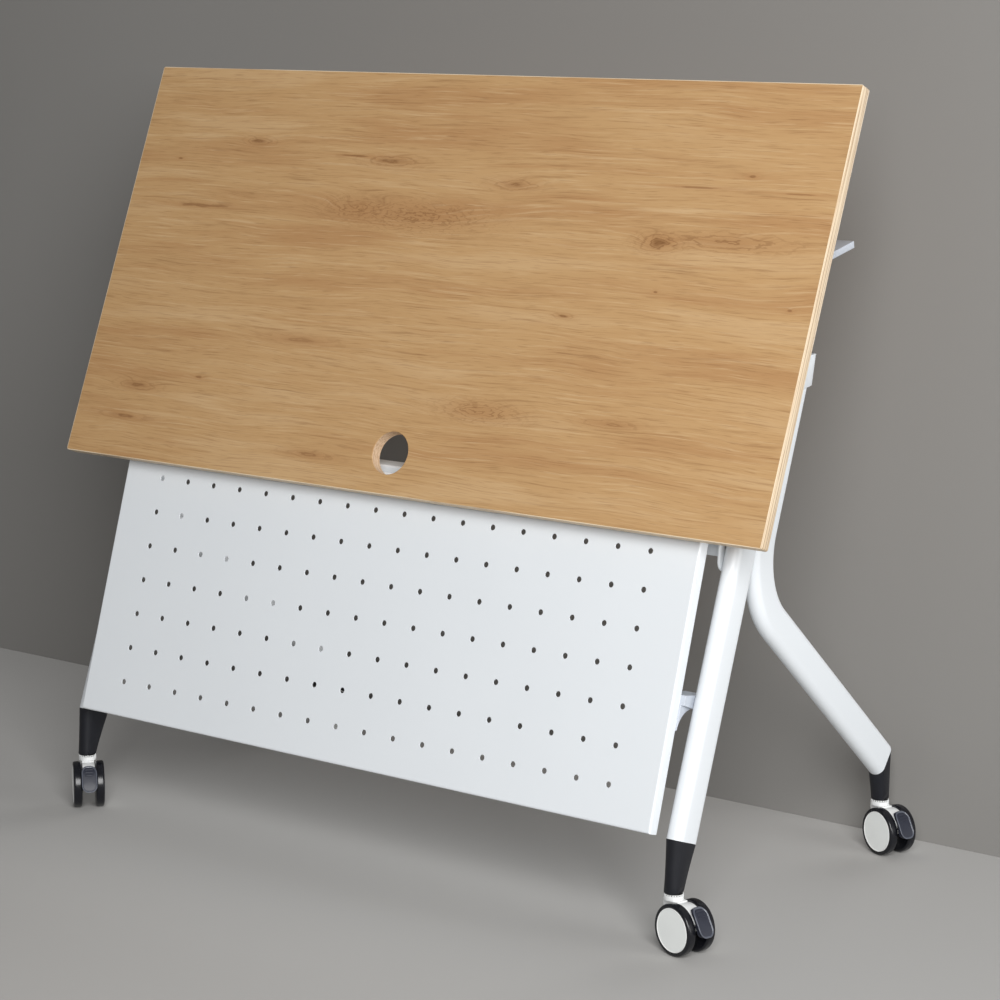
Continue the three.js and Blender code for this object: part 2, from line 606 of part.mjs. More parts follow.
// Modesty panel: a pierced sheet with its four edges folded back, leaning with the front legs
const panel = new THREE.Group();
panel.position.set(0, PANEL_Y, PANEL_Z);
panel.rotation.x = -rad(PANEL_LEAN);
table.add(panel);
const halfWidth = PANEL_WIDTH / 2;
const halfHeight = PANEL_HEIGHT / 2;
const sheet = new THREE.Shape(
  [
    [-halfWidth, -halfHeight],
    [halfWidth, -halfHeight],
    [halfWidth, halfHeight],
    [-halfWidth, halfHeight],
  ].map(([x, z]) => new THREE.Vector2(x, z)),
);
for (let row = 0; row < HOLE_ROWS; row++) {
  for (let column = 0; column < HOLE_COLUMNS; column++) {
    const x = (column - (HOLE_COLUMNS - 1) / 2) * HOLE_PITCH;
    const z = (row - (HOLE_ROWS - 1) / 2) * HOLE_PITCH - HOLE_DROP;
    const rim = Array.from({ length: HOLE_SIDES }, (_, i) =>
      plane((2 * Math.PI * (i + 0.5)) / HOLE_SIDES).multiplyScalar(HOLE_D / 2).add({ x, y: z }),
    );
    sheet.holes.push(new THREE.Path(rim));
  }
}
const flanges = cut(
  block(-halfWidth, halfWidth, 0, PANEL_FLANGE, -halfHeight, halfHeight),
  block(
    PANEL_SHEET - halfWidth,
    halfWidth - PANEL_SHEET,
    -PANEL_FLANGE,
    2 * PANEL_FLANGE,
    PANEL_SHEET - halfHeight,
    halfHeight - PANEL_SHEET,
  ),
);
place(panel, "modesty_panel", join(alongY(sheet, 0, PANEL_SHEET), flanges), WHITE_PAINT);

// A place on the panel in the table's frame: up the panel from its middle, and behind its front face
const panelPoint = (up, back) =>
  new THREE.Vector2(PANEL_Y, PANEL_Z)
    .addScaledVector(PANEL_UP, up)
    .addScaledVector(new THREE.Vector2(PANEL_UP.y, -PANEL_UP.x), back);

// Lower panel brackets: corbels that clip behind the panel's side flange and reach the front tube's
// inner face. The outer part passes behind the flange, the inner part rests on the back of the sheet.
const flangeBack = PANEL_FLANGE + SEAT;
const corbelHigh = panelPoint(CORBEL_TOP, flangeBack);
const corbelLegTop = corbelHigh.y - CORBEL_FALL;
const legAxisAt = (z) => frontPoint((z - frontEnd.y) / frontAlong.y);
const corbelTip = legAxisAt(corbelLegTop).x + CORBEL_LEG_REACH;
const corbelFoot = CORBEL_TOP - CORBEL_TALL;
const corbelRoot = panelPoint(corbelFoot, flangeBack + CORBEL_ROOT);
const corbel = new THREE.Shape();
corbel.moveTo(corbelHigh.x, corbelHigh.y);
corbel.lineTo(...panelPoint(corbelFoot, flangeBack).toArray());
corbel.lineTo(corbelRoot.x, corbelRoot.y);
const corbelLegLow = corbelLegTop - CORBEL_LEG_TALL;
corbel.quadraticCurveTo(
  corbelRoot.x + PANEL_FLANGE / 2,
  corbelLegLow,
  legAxisAt(corbelLegLow).x - TUBE_FLAT,
  corbelLegLow,
);
corbel.lineTo(corbelTip, corbelLegLow);
corbel.lineTo(corbelTip, corbelLegTop);
const corbelPad = new THREE.Shape([
  panelPoint(CORBEL_TOP, PANEL_SHEET + SEAT),
  panelPoint(corbelFoot, PANEL_SHEET + SEAT),
  panelPoint(corbelFoot, flangeBack + CORBEL_ROOT),
  panelPoint(CORBEL_TOP, flangeBack + CORBEL_ROOT),
]);
const corbelOut = LEG_X - TUBE_WIDTH / 2 - SEAT;
const corbelIn = corbelOut - CORBEL_WIDTH;
const corbelSolid = join(
  alongX(corbel, corbelIn, corbelOut, 8),
  alongX(corbelPad, corbelIn, halfWidth - PANEL_SHEET - SEAT),
);

// Upper panel brackets: bent straps from the crossbeam's front face to the back of the panel
const strapHalf = SHEET / 2 + SEAT;
const beamFace = BEAM_Y - BEAM_DEEP / 2 - strapHalf;
const strapZ = BEAM_Z - HANGER_DOWN;
const strapUp = (strapZ - PANEL_Z) / PANEL_UP.y;
const strapFoot = (up) => panelPoint(up, PANEL_SHEET + strapHalf);
const hanger = strip(
  [
    new THREE.Vector2(beamFace, strapZ + HANGER_FOOT),
    new THREE.Vector2(beamFace, strapZ),
    strapFoot(strapUp),
    strapFoot(strapUp + HANGER_FOOT),
  ],
  SHEET,
  0,
  false,
);
for (const [side, sign] of [["left", -1], ["right", 1]]) {
  const middle = sign * (LEG_X - HANGER_INSET);
  const strap = alongX(hanger, middle - HANGER_WIDTH / 2, middle + HANGER_WIDTH / 2);
  place(table, `panel_strap_${side}`, strap, WHITE_PAINT);
  place(table, `panel_corbel_${side}`, sign > 0 ? corbelSolid : corbelSolid.mirror([1, 0, 0]), WHITE_PAINT);

  // Each leg, bracket and lever is drawn for the right end and mirrored for the left
  const leg = new THREE.Group();
  const mechanism = new THREE.Group();
  for (const group of [leg, mechanism]) {
    group.position.x = sign * LEG_X;
    group.scale.x = sign;
  }
  table.add(leg);
  top.add(mechanism);
  place(leg, `main_tube_${side}`, mainSolid, WHITE_PAINT);
  place(leg, `front_tube_${side}`, coped, WHITE_PAINT);
  place(leg, `pivot_head_${side}`, headSolid, WHITE_PAINT);
  place(leg, `front_foot_${side}`, frontFoot, BLACK_PLASTIC);
  place(leg, `rear_foot_${side}`, rearFoot, BLACK_PLASTIC);
  place(mechanism, `top_bracket_${side}`, bracketSolid, WHITE_PAINT);
  place(mechanism, `pivot_pin_${side}`, pivotPin, STEEL);
  place(mechanism, `lock_lever_${side}`, leverSolid, WHITE_PLASTIC);
  place(mechanism, `lever_pin_${side}`, leverPin, STEEL);
}

// Casters: drawn with the stem on the Z axis and the wheels trailing along +X
const flangeTop = FOOT_BOTTOM_Z - SEAT;
const collarTop = flangeTop - STEM_FLANGE_T - SEAT;
const collarLow = collarTop - COLLAR_TALL;
const stemLow = collarTop - STEM_DOWN;
const stem = join(
  rodZ(STEM_D / 2, stemLow, FOOT_BOTTOM_Z + STEM_UP),
  rodZ(STEM_FLANGE_D / 2, flangeTop - STEM_FLANGE_T, flangeTop),
);

// The angle, about the axle, of a point of the hood level with the collar's underside
const hoodMeets = Math.PI - Math.asin(Math.min((collarLow - WHEEL_R) / HOOD_R, 0.98));
const hood = new THREE.Shape();
hood.moveTo(-COLLAR_D / 2 + SHEET, collarLow + 1);
hood.lineTo(-COLLAR_D / 2 + SHEET, collarLow - SHEET);
hood.quadraticCurveTo(-SHEET, WHEEL_R - BOSS_R, TRAIL, WHEEL_R - BOSS_R);
hood.absarc(TRAIL, WHEEL_R, BOSS_R, -Math.PI / 2, -Math.PI / 6, false);
hood.lineTo(TRAIL + BRAKE_X + TRUNNION_D, WHEEL_R + SHEET);
hood.absarc(TRAIL, WHEEL_R, HOOD_R, rad(PEDAL_LIP + PEDAL_TOP) / 2, hoodMeets, false);
hood.lineTo(TRAIL + HOOD_R * Math.cos(hoodMeets), collarLow + 1);
const aboutAxle = (body) => body.translate(TRAIL, 0, WHEEL_R);
const lugSlot = new THREE.Shape(
  [
    [BRAKE_X - 2 * TRUNNION_D, -SHEET],
    [2 * HOOD_R, -HOOD_R],
    [2 * HOOD_R, HOOD_R],
    [BRAKE_X + TRUNNION_D, HOOD_R],
    [BRAKE_X - 2 * TRUNNION_D, BRAKE_Z + 2 * TRUNNION_D],
  ].map(([x, z]) => new THREE.Vector2(x, z)),
);
const slotHalf = PEDAL_LUG / 2 + SEAT;
const fork = cut(
  join(rodZ(COLLAR_D / 2, collarLow, collarTop, 20), alongY(hood, -NECK_WIDTH / 2, NECK_WIDTH / 2, 8)),
  rodZ(STEM_D / 2 + RUNNING, stemLow - SEAT, collarTop + 1),
  aboutAxle(rodY(AXLE_D / 2 + RUNNING, -NECK_WIDTH, NECK_WIDTH, 0, 0)),
  aboutAxle(alongY(lugSlot, -slotHalf, slotHalf)),
  aboutAxle(rodY(TRUNNION_D / 2 + RUNNING, -NECK_WIDTH, NECK_WIDTH, BRAKE_X, BRAKE_Z, 12)),
);

// Brake pedal: a curved tread plate over the wheels' gap, hinged on two moulded trunnions
const pedalOuter = PEDAL_R + PEDAL_THICK;
const pedalMid = rad(PEDAL_TOP + PEDAL_LIP) / 2;
const pedalTall = pedalOuter * (Math.sin(rad(PEDAL_TOP)) - Math.sin(rad(PEDAL_LIP)));
const pedalZ = (pedalOuter * (Math.sin(rad(PEDAL_TOP)) + Math.sin(rad(PEDAL_LIP)))) / 2;
const pedalFront = wide(PEDAL_WIDTH, pedalTall, PEDAL_WIDTH * 0.4);
const pedalPlate = alongY(sector(PEDAL_R, pedalOuter, rad(PEDAL_LIP), rad(PEDAL_TOP)), -PEDAL_WIDTH, PEDAL_WIDTH, 6);
const pedalLug = new THREE.Shape([
  new THREE.Vector2(BRAKE_X - TRUNNION_D, BRAKE_Z - TRUNNION_D / 2),
  new THREE.Vector2(BRAKE_X, BRAKE_Z - TRUNNION_D),
  plane(pedalMid - rad(15)).multiplyScalar(PEDAL_R + 1),
  plane(pedalMid + rad(20)).multiplyScalar(PEDAL_R + 1),
  new THREE.Vector2(BRAKE_X, BRAKE_Z + TRUNNION_D),
  new THREE.Vector2(BRAKE_X - TRUNNION_D, BRAKE_Z + TRUNNION_D / 2),
]);
const GRIP_RIBS = 3;
const RIB_TALL = 0.8;
const ribs = Array.from({ length: GRIP_RIBS }, (_, i) => {
  const high = rad(PEDAL_TOP - 8 - 7 * i);
  const rib = sector(pedalOuter - 1, pedalOuter + RIB_TALL, high - rad(3), high);
  return alongY(rib, -PEDAL_WIDTH / 4, PEDAL_WIDTH / 4, 1);
});
const pedal = aboutAxle(
  join(
    pedalPlate.intersect(alongX(pedalFront, 0, 2 * pedalOuter, 5).translate(0, 0, pedalZ)),
    alongY(pedalLug, -PEDAL_LUG / 2, PEDAL_LUG / 2),
    rodY(TRUNNION_D / 2, SEAT - NECK_WIDTH / 2, NECK_WIDTH / 2 - SEAT, BRAKE_X, BRAKE_Z, 12),
    ...ribs,
  ),
);

// Wheels: a tyred half of the twin wheel, with a snap-in cover disc in its outer face
const WHEEL_SIDES = 20;
const wheelHalf = WHEEL_WIDTH / 2;
const boreR = AXLE_D / 2 + RUNNING;
const lathe = (profile) => {
  const points = profile.map(([r, y]) => new THREE.Vector2(r, y));
  return solid(new THREE.LatheGeometry(points, WHEEL_SIDES));
};
const recessY = wheelHalf - DISC_RECESS;
const TYRE_ROUND = 2.6;
const wheel = lathe([
  [boreR, -wheelHalf],
  [WHEEL_R - TYRE_ROUND, -wheelHalf],
  [WHEEL_R, TYRE_ROUND - wheelHalf],
  [WHEEL_R, wheelHalf - TYRE_ROUND],
  [WHEEL_R - TYRE_ROUND, wheelHalf],
  [DISC_R + SEAT, wheelHalf],
  [DISC_R + SEAT, recessY],
  [boreR, recessY],
  [boreR, -wheelHalf],
]);
const disc = lathe([
  [0, recessY + SEAT],
  [DISC_R, recessY + SEAT],
  [DISC_R, wheelHalf],
  [0.6 * DISC_R, wheelHalf + DISC_DOME],
  [0, wheelHalf + DISC_DOME],
]);
const axleEnd = WHEEL_Y + recessY - SEAT;
const axle = aboutAxle(rodY(AXLE_D / 2, -axleEnd, axleEnd, 0, 0, 12));
const outward = (body, sign) =>
  aboutAxle((sign > 0 ? body : body.mirror([0, 1, 0])).translate(0, sign * WHEEL_Y, 0));

// Where each caster stands, and which way its wheels trail, in degrees from +X
const CASTERS = {
  front_right: { x: LEG_X, y: -STEM_Y, trails: -16 },
  rear_right: { x: LEG_X, y: STEM_Y, trails: -23 },
  front_left: { x: -LEG_X, y: -STEM_Y, trails: -42 },
  rear_left: { x: -LEG_X, y: STEM_Y, trails: 45 },
};
for (const [at, { x, y, trails }] of Object.entries(CASTERS)) {
  const caster = new THREE.Group();
  caster.position.set(x, y, 0);
  caster.rotation.z = rad(trails);
  table.add(caster);
  place(caster, `caster_stem_${at}`, stem, STEEL);
  place(caster, `caster_fork_${at}`, fork, WHITE_PLASTIC);
  place(caster, `brake_pedal_${at}`, pedal, BLACK_PLASTIC);
  place(caster, `caster_axle_${at}`, axle, STEEL);
  for (const [half, sign] of [["a", 1], ["b", -1]]) {
    place(caster, `wheel_${half}_${at}`, outward(wheel, sign), TREAD);
    place(caster, `disc_${half}_${at}`, outward(disc, sign), WHITE_PLASTIC);
  }
}

export default table;
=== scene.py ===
"""Flip top training table, dressed for its portrait: an oak top tipped up for nesting, white
bent-oval legs, a perforated modesty panel and four braked twin-wheel casters."""

import json

import bmesh
import bpy
import numpy as np
from mathutils import Matrix


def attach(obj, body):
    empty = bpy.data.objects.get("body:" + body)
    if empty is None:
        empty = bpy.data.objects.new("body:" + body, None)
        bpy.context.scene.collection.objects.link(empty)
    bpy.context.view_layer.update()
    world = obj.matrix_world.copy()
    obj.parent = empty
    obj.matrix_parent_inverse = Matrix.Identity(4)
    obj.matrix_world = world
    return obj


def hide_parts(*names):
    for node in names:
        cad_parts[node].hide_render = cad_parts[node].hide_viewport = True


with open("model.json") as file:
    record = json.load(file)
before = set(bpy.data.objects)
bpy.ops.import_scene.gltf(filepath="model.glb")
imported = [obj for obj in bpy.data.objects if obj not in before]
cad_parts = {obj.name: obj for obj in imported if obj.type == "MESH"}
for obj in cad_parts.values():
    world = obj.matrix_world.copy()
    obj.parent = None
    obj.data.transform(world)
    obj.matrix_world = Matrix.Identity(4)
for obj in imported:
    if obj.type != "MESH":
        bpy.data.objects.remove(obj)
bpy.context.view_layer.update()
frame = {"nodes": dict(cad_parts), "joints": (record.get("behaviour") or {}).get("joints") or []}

# Studio. A plain pale floor before a plain grey wall, a large soft key over the camera's shoulder and
# weak lights from the right and from behind, with the camera where the photographer stood.
scene = bpy.context.scene
scene.view_settings.view_transform = "Standard"


def add(tree, kind, inputs=(), **settings):
    """Adds a node, sets its properties, and gives its inputs values or links."""
    made = tree.nodes.new(kind)
    for key, value in settings.items():
        setattr(made, key, value)
    for key, value in dict(inputs).items():
        if isinstance(value, bpy.types.NodeSocket):
            tree.links.new(value, made.inputs[key])
        else:
            made.inputs[key].default_value = value
    return made


def finish(name, **sockets):
    """A material with its Principled shader set: its node tree and the shader."""
    material = bpy.data.materials.new(name)
    material.use_nodes = True
    shader = material.node_tree.nodes["Principled BSDF"]
    for key, value in sockets.items():
        shader.inputs[key.replace("_", " ")].default_value = value
    return material, material.node_tree, shader


STUDIO_REACH = 40.0
WALL_Y = 0.335
FLOOR_COLOUR = (0.46, 0.452, 0.438, 1)
WALL_COLOUR = (0.255, 0.248, 0.237, 1)
BACKDROP = (0.150, 0.147, 0.141, 1)
FADE_FROM, FADE_TO = 1.9, 4.2
SKY_LIGHT = 0.14
TABLE_MIDDLE = (0, 0, 0.5)


def studio_sheet(name, corners, colour):
    """A plain matt sheet that fades into the backdrop's colour far from the table."""
    mesh = bpy.data.meshes.new(name)
    mesh.from_pydata(corners, [], [(0, 1, 2, 3)])
    sheet = bpy.data.objects.new(name, mesh)
    scene.collection.objects.link(sheet)
    paint, tree, shader = finish(name, Base_Color=colour, Roughness=1.0, Specular_IOR_Level=0.0)
    paths = add(tree, "ShaderNodeLightPath")
    where = add(tree, "ShaderNodeTexCoord")
    far = add(tree, "ShaderNodeVectorMath", {0: where.outputs["Object"]}, operation="LENGTH")
    fade = add(tree, "ShaderNodeMapRange",
               {"Value": far.outputs["Value"], "From Min": FADE_FROM, "From Max": FADE_TO},
               interpolation_type="SMOOTHSTEP")
    looked_at = add(tree, "ShaderNodeMath", {0: fade.outputs[0], 1: paths.outputs["Is Camera Ray"]},
                    operation="MULTIPLY")
    flat = add(tree, "ShaderNodeEmission", {"Color": BACKDROP})
    blend = add(tree, "ShaderNodeMixShader",
                {0: looked_at.outputs[0], 1: shader.outputs[0], 2: flat.outputs[0]})
    tree.links.new(blend.outputs[0], tree.nodes["Material Output"].inputs["Surface"])
    mesh.materials.append(paint)
    return sheet, tree, blend


reach = STUDIO_REACH
studio_sheet("studio_floor", [(-reach, -reach, 0), (reach, -reach, 0), (reach, reach, 0), (-reach, reach, 0)],
             FLOOR_COLOUR)
wall, tree, blend = studio_sheet(
    "studio_wall", [(-reach, WALL_Y, 0), (reach, WALL_Y, 0), (reach, WALL_Y, reach), (-reach, WALL_Y, reach)],
    WALL_COLOUR)
# The wall has one face: from behind it isn't there, and it holds no light back from the table
wall.visible_diffuse = False
wall.visible_shadow = False
rear = add(tree, "ShaderNodeNewGeometry")
clear = add(tree, "ShaderNodeBsdfTransparent")
one_sided = add(tree, "ShaderNodeMixShader", {0: rear.outputs["Backfacing"], 1: blend.outputs[0],
                                              2: clear.outputs[0]})
tree.links.new(one_sided.outputs[0], tree.nodes["Material Output"].inputs["Surface"])

world = bpy.data.worlds.new("studio_sky")
world.use_nodes = True
scene.world = world
sky = world.node_tree
paths = add(sky, "ShaderNodeLightPath")
seen = add(sky, "ShaderNodeMath", {0: paths.outputs["Is Camera Ray"], 1: paths.outputs["Is Glossy Ray"]},
           operation="MAXIMUM")
shown = add(sky, "ShaderNodeMath", {0: seen.outputs[0], 1: paths.outputs["Is Transmission Ray"]},
            operation="MAXIMUM")
lit = add(sky, "ShaderNodeBackground", {"Color": (1, 1, 1, 1), "Strength": SKY_LIGHT})
backdrop = add(sky, "ShaderNodeBackground", {"Color": BACKDROP, "Strength": 1.0})
chosen = add(sky, "ShaderNodeMixShader", {0: shown.outputs[0], 1: lit.outputs[0], 2: backdrop.outputs[0]})
sky.links.new(chosen.outputs[0], sky.nodes["World Output"].inputs["Surface"])


def soft_light(name, place, target, size, power):
    """A square lamp at a place, turned to face a target."""
    lamp = bpy.data.lights.new(name, "AREA")
    lamp.size = size
    lamp.energy = power
    made = bpy.data.objects.new(name, lamp)
    scene.collection.objects.link(made)
    away = np.subtract(place, target)
    away = away / np.linalg.norm(away)
    right = np.cross((0, 0, 1), away)
    right = right / np.linalg.norm(right)
    up = np.cross(away, right)
    turned = np.eye(4)
    turned[:3, :3] = np.column_stack([right, up, away])
    turned[:3, 3] = place
    made.matrix_world = Matrix(turned)


soft_light("key_light", (2.9, -3.2, 2.3), TABLE_MIDDLE, size=2.4, power=222)
soft_light("side_light", (3.6, 0.1, 0.7), TABLE_MIDDLE, size=1.2, power=30)
soft_light("back_light", (0.6, 3.4, 0.7), TABLE_MIDDLE, size=2.2, power=52)

CAMERA_PLACE = (2.2622, -2.9953, 1.1432)
CAMERA_RIGHT = (0.80195, 0.59728, 0.01134)
CAMERA_UP = (-0.11320, 0.13330, 0.98458)
CAMERA_LOOK = (-0.58656, 0.79088, -0.17451)
lens = bpy.data.cameras.new("photo_camera")
lens.sensor_width = 36
lens.lens = 96.62
lens.clip_end = 60
camera = bpy.data.objects.new("photo_camera", lens)
scene.collection.objects.link(camera)
stand = np.eye(4)
stand[:3, :3] = np.column_stack([CAMERA_RIGHT, CAMERA_UP, np.negative(CAMERA_LOOK)])
stand[:3, 3] = CAMERA_PLACE
camera.matrix_world = Matrix(stand)
scene.camera = camera

# Oak top. An 18 mm board faced with oak laminate, with a bare cable hole drilled near its far edge,
# screwed to the two top brackets. It is drawn level about the flip pivot and then tipped up by the
# pivot's own angle.
flip = next(joint for joint in frame["joints"] if joint["name"] == "top_flip")
FLIP = np.radians(flip["range_deg"][1])
PIVOT = np.array(flip["pos_m"])
TOP_HALF = 0.600
TOP_FAR = -0.2126
TOP_NEAR = 0.3874
UNDERSIDE = 0.0395
TOP_FACE = 0.0575
BAND = 0.0012
CABLE_HOLE_R = 0.030
CABLE_HOLE_Y = TOP_FAR + 0.058
HOLE_EASE = 0.0007
HOLE_SPOKES = 160


def tipped(points):
    """Turns points drawn level about the flip pivot to where the tipped top holds them."""
    x, y, z = np.moveaxis(np.asarray(points, float), -1, 0)
    turned = np.stack([x, y * np.cos(FLIP) - z * np.sin(FLIP), y * np.sin(FLIP) + z * np.cos(FLIP)], -1)
    return turned + PIVOT


def skin(name, *grids, round_rows=False, ends=False, crease=35):
    """A mesh over grids of points whose columns close on themselves. The rows may close too, or the
    first and last row may be filled as flat ends. Edges sharper than the crease stay crisp."""
    faces, start = [], 0
    for grid in grids:
        rows, columns = grid.shape[:2]
        index = start + np.arange(rows * columns).reshape(rows, columns)
        lower = index if round_rows else index[:-1]
        upper = np.roll(index, -1, 0) if round_rows else index[1:]
        quads = np.stack([lower, np.roll(lower, -1, 1), np.roll(upper, -1, 1), upper], -1).reshape(-1, 4)
        faces += quads.tolist()
        if ends:
            faces += [index[0][::-1].tolist(), index[-1].tolist()]
        start += rows * columns
    return mesh_piece(name, np.concatenate([grid.reshape(-1, 3) for grid in grids]), faces, crease)


def mesh_piece(name, points, faces, crease=35):
    """An object at the origin from points and faces, with doubles merged and faces turned out."""
    mesh = bpy.data.meshes.new(name)
    mesh.from_pydata(np.asarray(points).tolist(), [], faces)
    work = bmesh.new()
    work.from_mesh(mesh)
    bmesh.ops.remove_doubles(work, verts=work.verts, dist=1e-6)
    bmesh.ops.recalc_face_normals(work, faces=work.faces)
    work.to_mesh(mesh)
    work.free()
    mesh.shade_smooth()
    mesh.set_sharp_from_angle(angle=np.radians(crease))
    piece = bpy.data.objects.new(name, mesh)
    scene.collection.objects.link(piece)
    return piece


edge_x = TOP_HALF - BAND
edge_low, edge_high = TOP_FAR + BAND, TOP_NEAR - BAND
corner_y = np.array([edge_low, edge_low, edge_high, edge_high]) - CABLE_HOLE_Y
corner_x = np.array([-edge_x, edge_x, edge_x, -edge_x])
spokes = np.linspace(-np.pi, np.pi, HOLE_SPOKES, endpoint=False)
spokes = np.union1d(spokes, np.arctan2(corner_y, corner_x))
ray = np.stack([np.cos(spokes), np.sin(spokes)], -1)
to_side = edge_x / np.maximum(np.abs(ray[:, 0]), 1e-9)
to_edge = np.where(ray[:, 1] > 0, edge_high - CABLE_HOLE_Y, CABLE_HOLE_Y - edge_low)
to_edge = to_edge / np.maximum(np.abs(ray[:, 1]), 1e-9)
rim = np.minimum(to_side, to_edge)
bore = np.full_like(rim, CABLE_HOLE_R)
around = [
    (bore + HOLE_EASE, TOP_FACE),
    (bore, TOP_FACE - HOLE_EASE),
    (bore, UNDERSIDE + HOLE_EASE),
    (bore + HOLE_EASE, UNDERSIDE),
    (rim, UNDERSIDE),
    (rim, TOP_FACE),
]
rings = [
    np.column_stack([r * ray[:, 0], CABLE_HOLE_Y + r * ray[:, 1], np.full_like(r, z)]) for r, z in around
]
oak_top = skin("oak_top", tipped(np.array(rings)), round_rows=True, crease=20)

OAK_PALE = (0.610, 0.420, 0.232, 1)
OAK_MAIN = (0.505, 0.310, 0.144, 1)
OAK_RED = (0.405, 0.213, 0.090, 1)
OAK_DARK = (0.200, 0.092, 0.034, 1)
# Marks on the face: place along and across the top, length and width, how many rings are seen in
# them, how strong the rings are, and how dark the middle is
MARKS = [
    (0.352, 0.1645, 0.034, 0.0150, 3.0, 0.75, 0.85),
    (0.456, 0.1715, 0.120, 0.0150, 2.5, 0.55, 0.10),
    (-0.165, 0.1860, 0.060, 0.0200, 4.0, 0.50, 0.00),
    (-0.045, 0.1790, 0.130, 0.0240, 5.0, 0.55, 0.05),
    (-0.118, 0.2570, 0.060, 0.0110, 2.0, 0.55, 0.45),
    (-0.190, 0.2620, 0.055, 0.0035, 1.0, 0.30, 0.65),
    (-0.372, 0.2770, 0.032, 0.0080, 2.0, 0.50, 0.65),
    (-0.450, 0.1750, 0.110, 0.0060, 1.0, 0.35, 0.50),
    (0.133, -0.0840, 0.075, 0.0170, 4.0, 0.55, 0.05),
    (0.104, 0.2320, 0.050, 0.0110, 2.0, 0.45, 0.40),
    (0.230, 0.0568, 0.020, 0.0050, 1.5, 0.40, 0.70),
    (0.390, 0.2420, 0.080, 0.0030, 1.0, 0.20, 0.55),
    (0.545, 0.2400, 0.070, 0.0025, 1.0, 0.20, 0.45),
    (0.470, 0.2600, 0.012, 0.0045, 1.0, 0.30, 0.60),
    (0.364, 0.0992, 0.007, 0.0035, 1.0, 0.20, 0.70),
    (0.567, 0.0890, 0.007, 0.0035, 1.0, 0.20, 0.60),
    (-0.519, 0.2450, 0.010, 0.0032, 1.0, 0.20, 0.75),
    (-0.490, -0.1035, 0.050, 0.0100, 2.0, 0.45, 0.45),
    (-0.500, -0.1510, 0.060, 0.0070, 1.5, 0.40, 0.50),
    (-0.376, -0.0812, 0.014, 0.0040, 1.0, 0.20, 0.60),
    (-0.137, -0.1720, 0.060, 0.0080, 2.0, 0.40, 0.30),
    (-0.205, -0.0117, 0.090, 0.0100, 1.5, 0.25, 0.20),
    (0.342, -0.0800, 0.060, 0.0090, 2.0, 0.35, 0.20),
]


def board_space(tree):
    """Object coordinates turned level, so that X runs along the top and Y across it."""
    where = add(tree, "ShaderNodeTexCoord")
    return add(tree, "ShaderNodeMapping",
               {"Vector": where.outputs["Object"], "Location": PIVOT.tolist(), "Rotation": (FLIP, 0, 0)},
               vector_type="TEXTURE").outputs[0]


def step(tree, operation, a, b=0.0, c=0.0, clamp=False):
    """One arithmetic step between sockets or numbers."""
    return add(tree, "ShaderNodeMath", {0: a, 1: b, 2: c}, operation=operation, use_clamp=clamp).outputs[0]


def streaks(tree, along, across, scale, detail, roughness=0.55, seed=0.0):
    """Noise drawn out along the grain: a value from 0 to 1."""
    vector = add(tree, "ShaderNodeCombineXYZ",
                 {0: step(tree, "MULTIPLY", along, scale[0]), 1: step(tree, "MULTIPLY", across, scale[1]),
                  2: seed}).outputs[0]
    made = add(tree, "ShaderNodeTexNoise",
               {"Vector": vector, "Scale": 1.0, "Detail": detail, "Roughness": roughness})
    return made.outputs["Fac"]


def band(tree, value, low, high):
    """A smooth step of a value from 0 at low to 1 at high."""
    return add(tree, "ShaderNodeMapRange", {"Value": value, "From Min": low, "From Max": high},
               interpolation_type="SMOOTHSTEP").outputs[0]


def blend_colour(tree, amount, first, second, kind="MIX"):
    """Mixes two colours by an amount."""
    made = add(tree, "ShaderNodeMix", data_type="RGBA", blend_type=kind)
    for key, value in zip((0, 6, 7), (amount, first, second)):
        if isinstance(value, bpy.types.NodeSocket):
            tree.links.new(value, made.inputs[key])
        else:
            made.inputs[key].default_value = value
    return made.outputs[2]


swirl = bpy.data.node_groups.new("grain_mark", "ShaderNodeTree")
for name in ("Along", "Across", "Place Along", "Place Across", "Length", "Width", "Rings", "Wander"):
    swirl.interface.new_socket(name, in_out="INPUT", socket_type="NodeSocketFloat")
for name in ("Line", "Core", "Blush"):
    swirl.interface.new_socket(name, in_out="OUTPUT", socket_type="NodeSocketFloat")
given = swirl.nodes.new("NodeGroupInput").outputs
result = swirl.nodes.new("NodeGroupOutput")
run = step(swirl, "DIVIDE", step(swirl, "SUBTRACT", given["Along"], given["Place Along"]), given["Length"])
rise = step(swirl, "DIVIDE", step(swirl, "SUBTRACT", given["Across"], given["Place Across"]), given["Width"])
round_mark = step(swirl, "ADD", step(swirl, "MULTIPLY", run, run), step(swirl, "MULTIPLY", rise, rise))
distance = step(swirl, "ADD", step(swirl, "SQRT", round_mark), given["Wander"])
blush = step(swirl, "EXPONENT", step(swirl, "MULTIPLY", round_mark, -1.3))
phase = step(swirl, "MULTIPLY", step(swirl, "MULTIPLY", distance, given["Rings"]), 2 * np.pi)
wave = step(swirl, "SINE", phase)
swirl.links.new(step(swirl, "MULTIPLY", band(swirl, wave, 0.35, 0.95), blush), result.inputs["Line"])
swirl.links.new(step(swirl, "SUBTRACT", 1.0, band(swirl, distance, 0.12, 0.55)), result.inputs["Core"])
swirl.links.new(blush, result.inputs["Blush"])

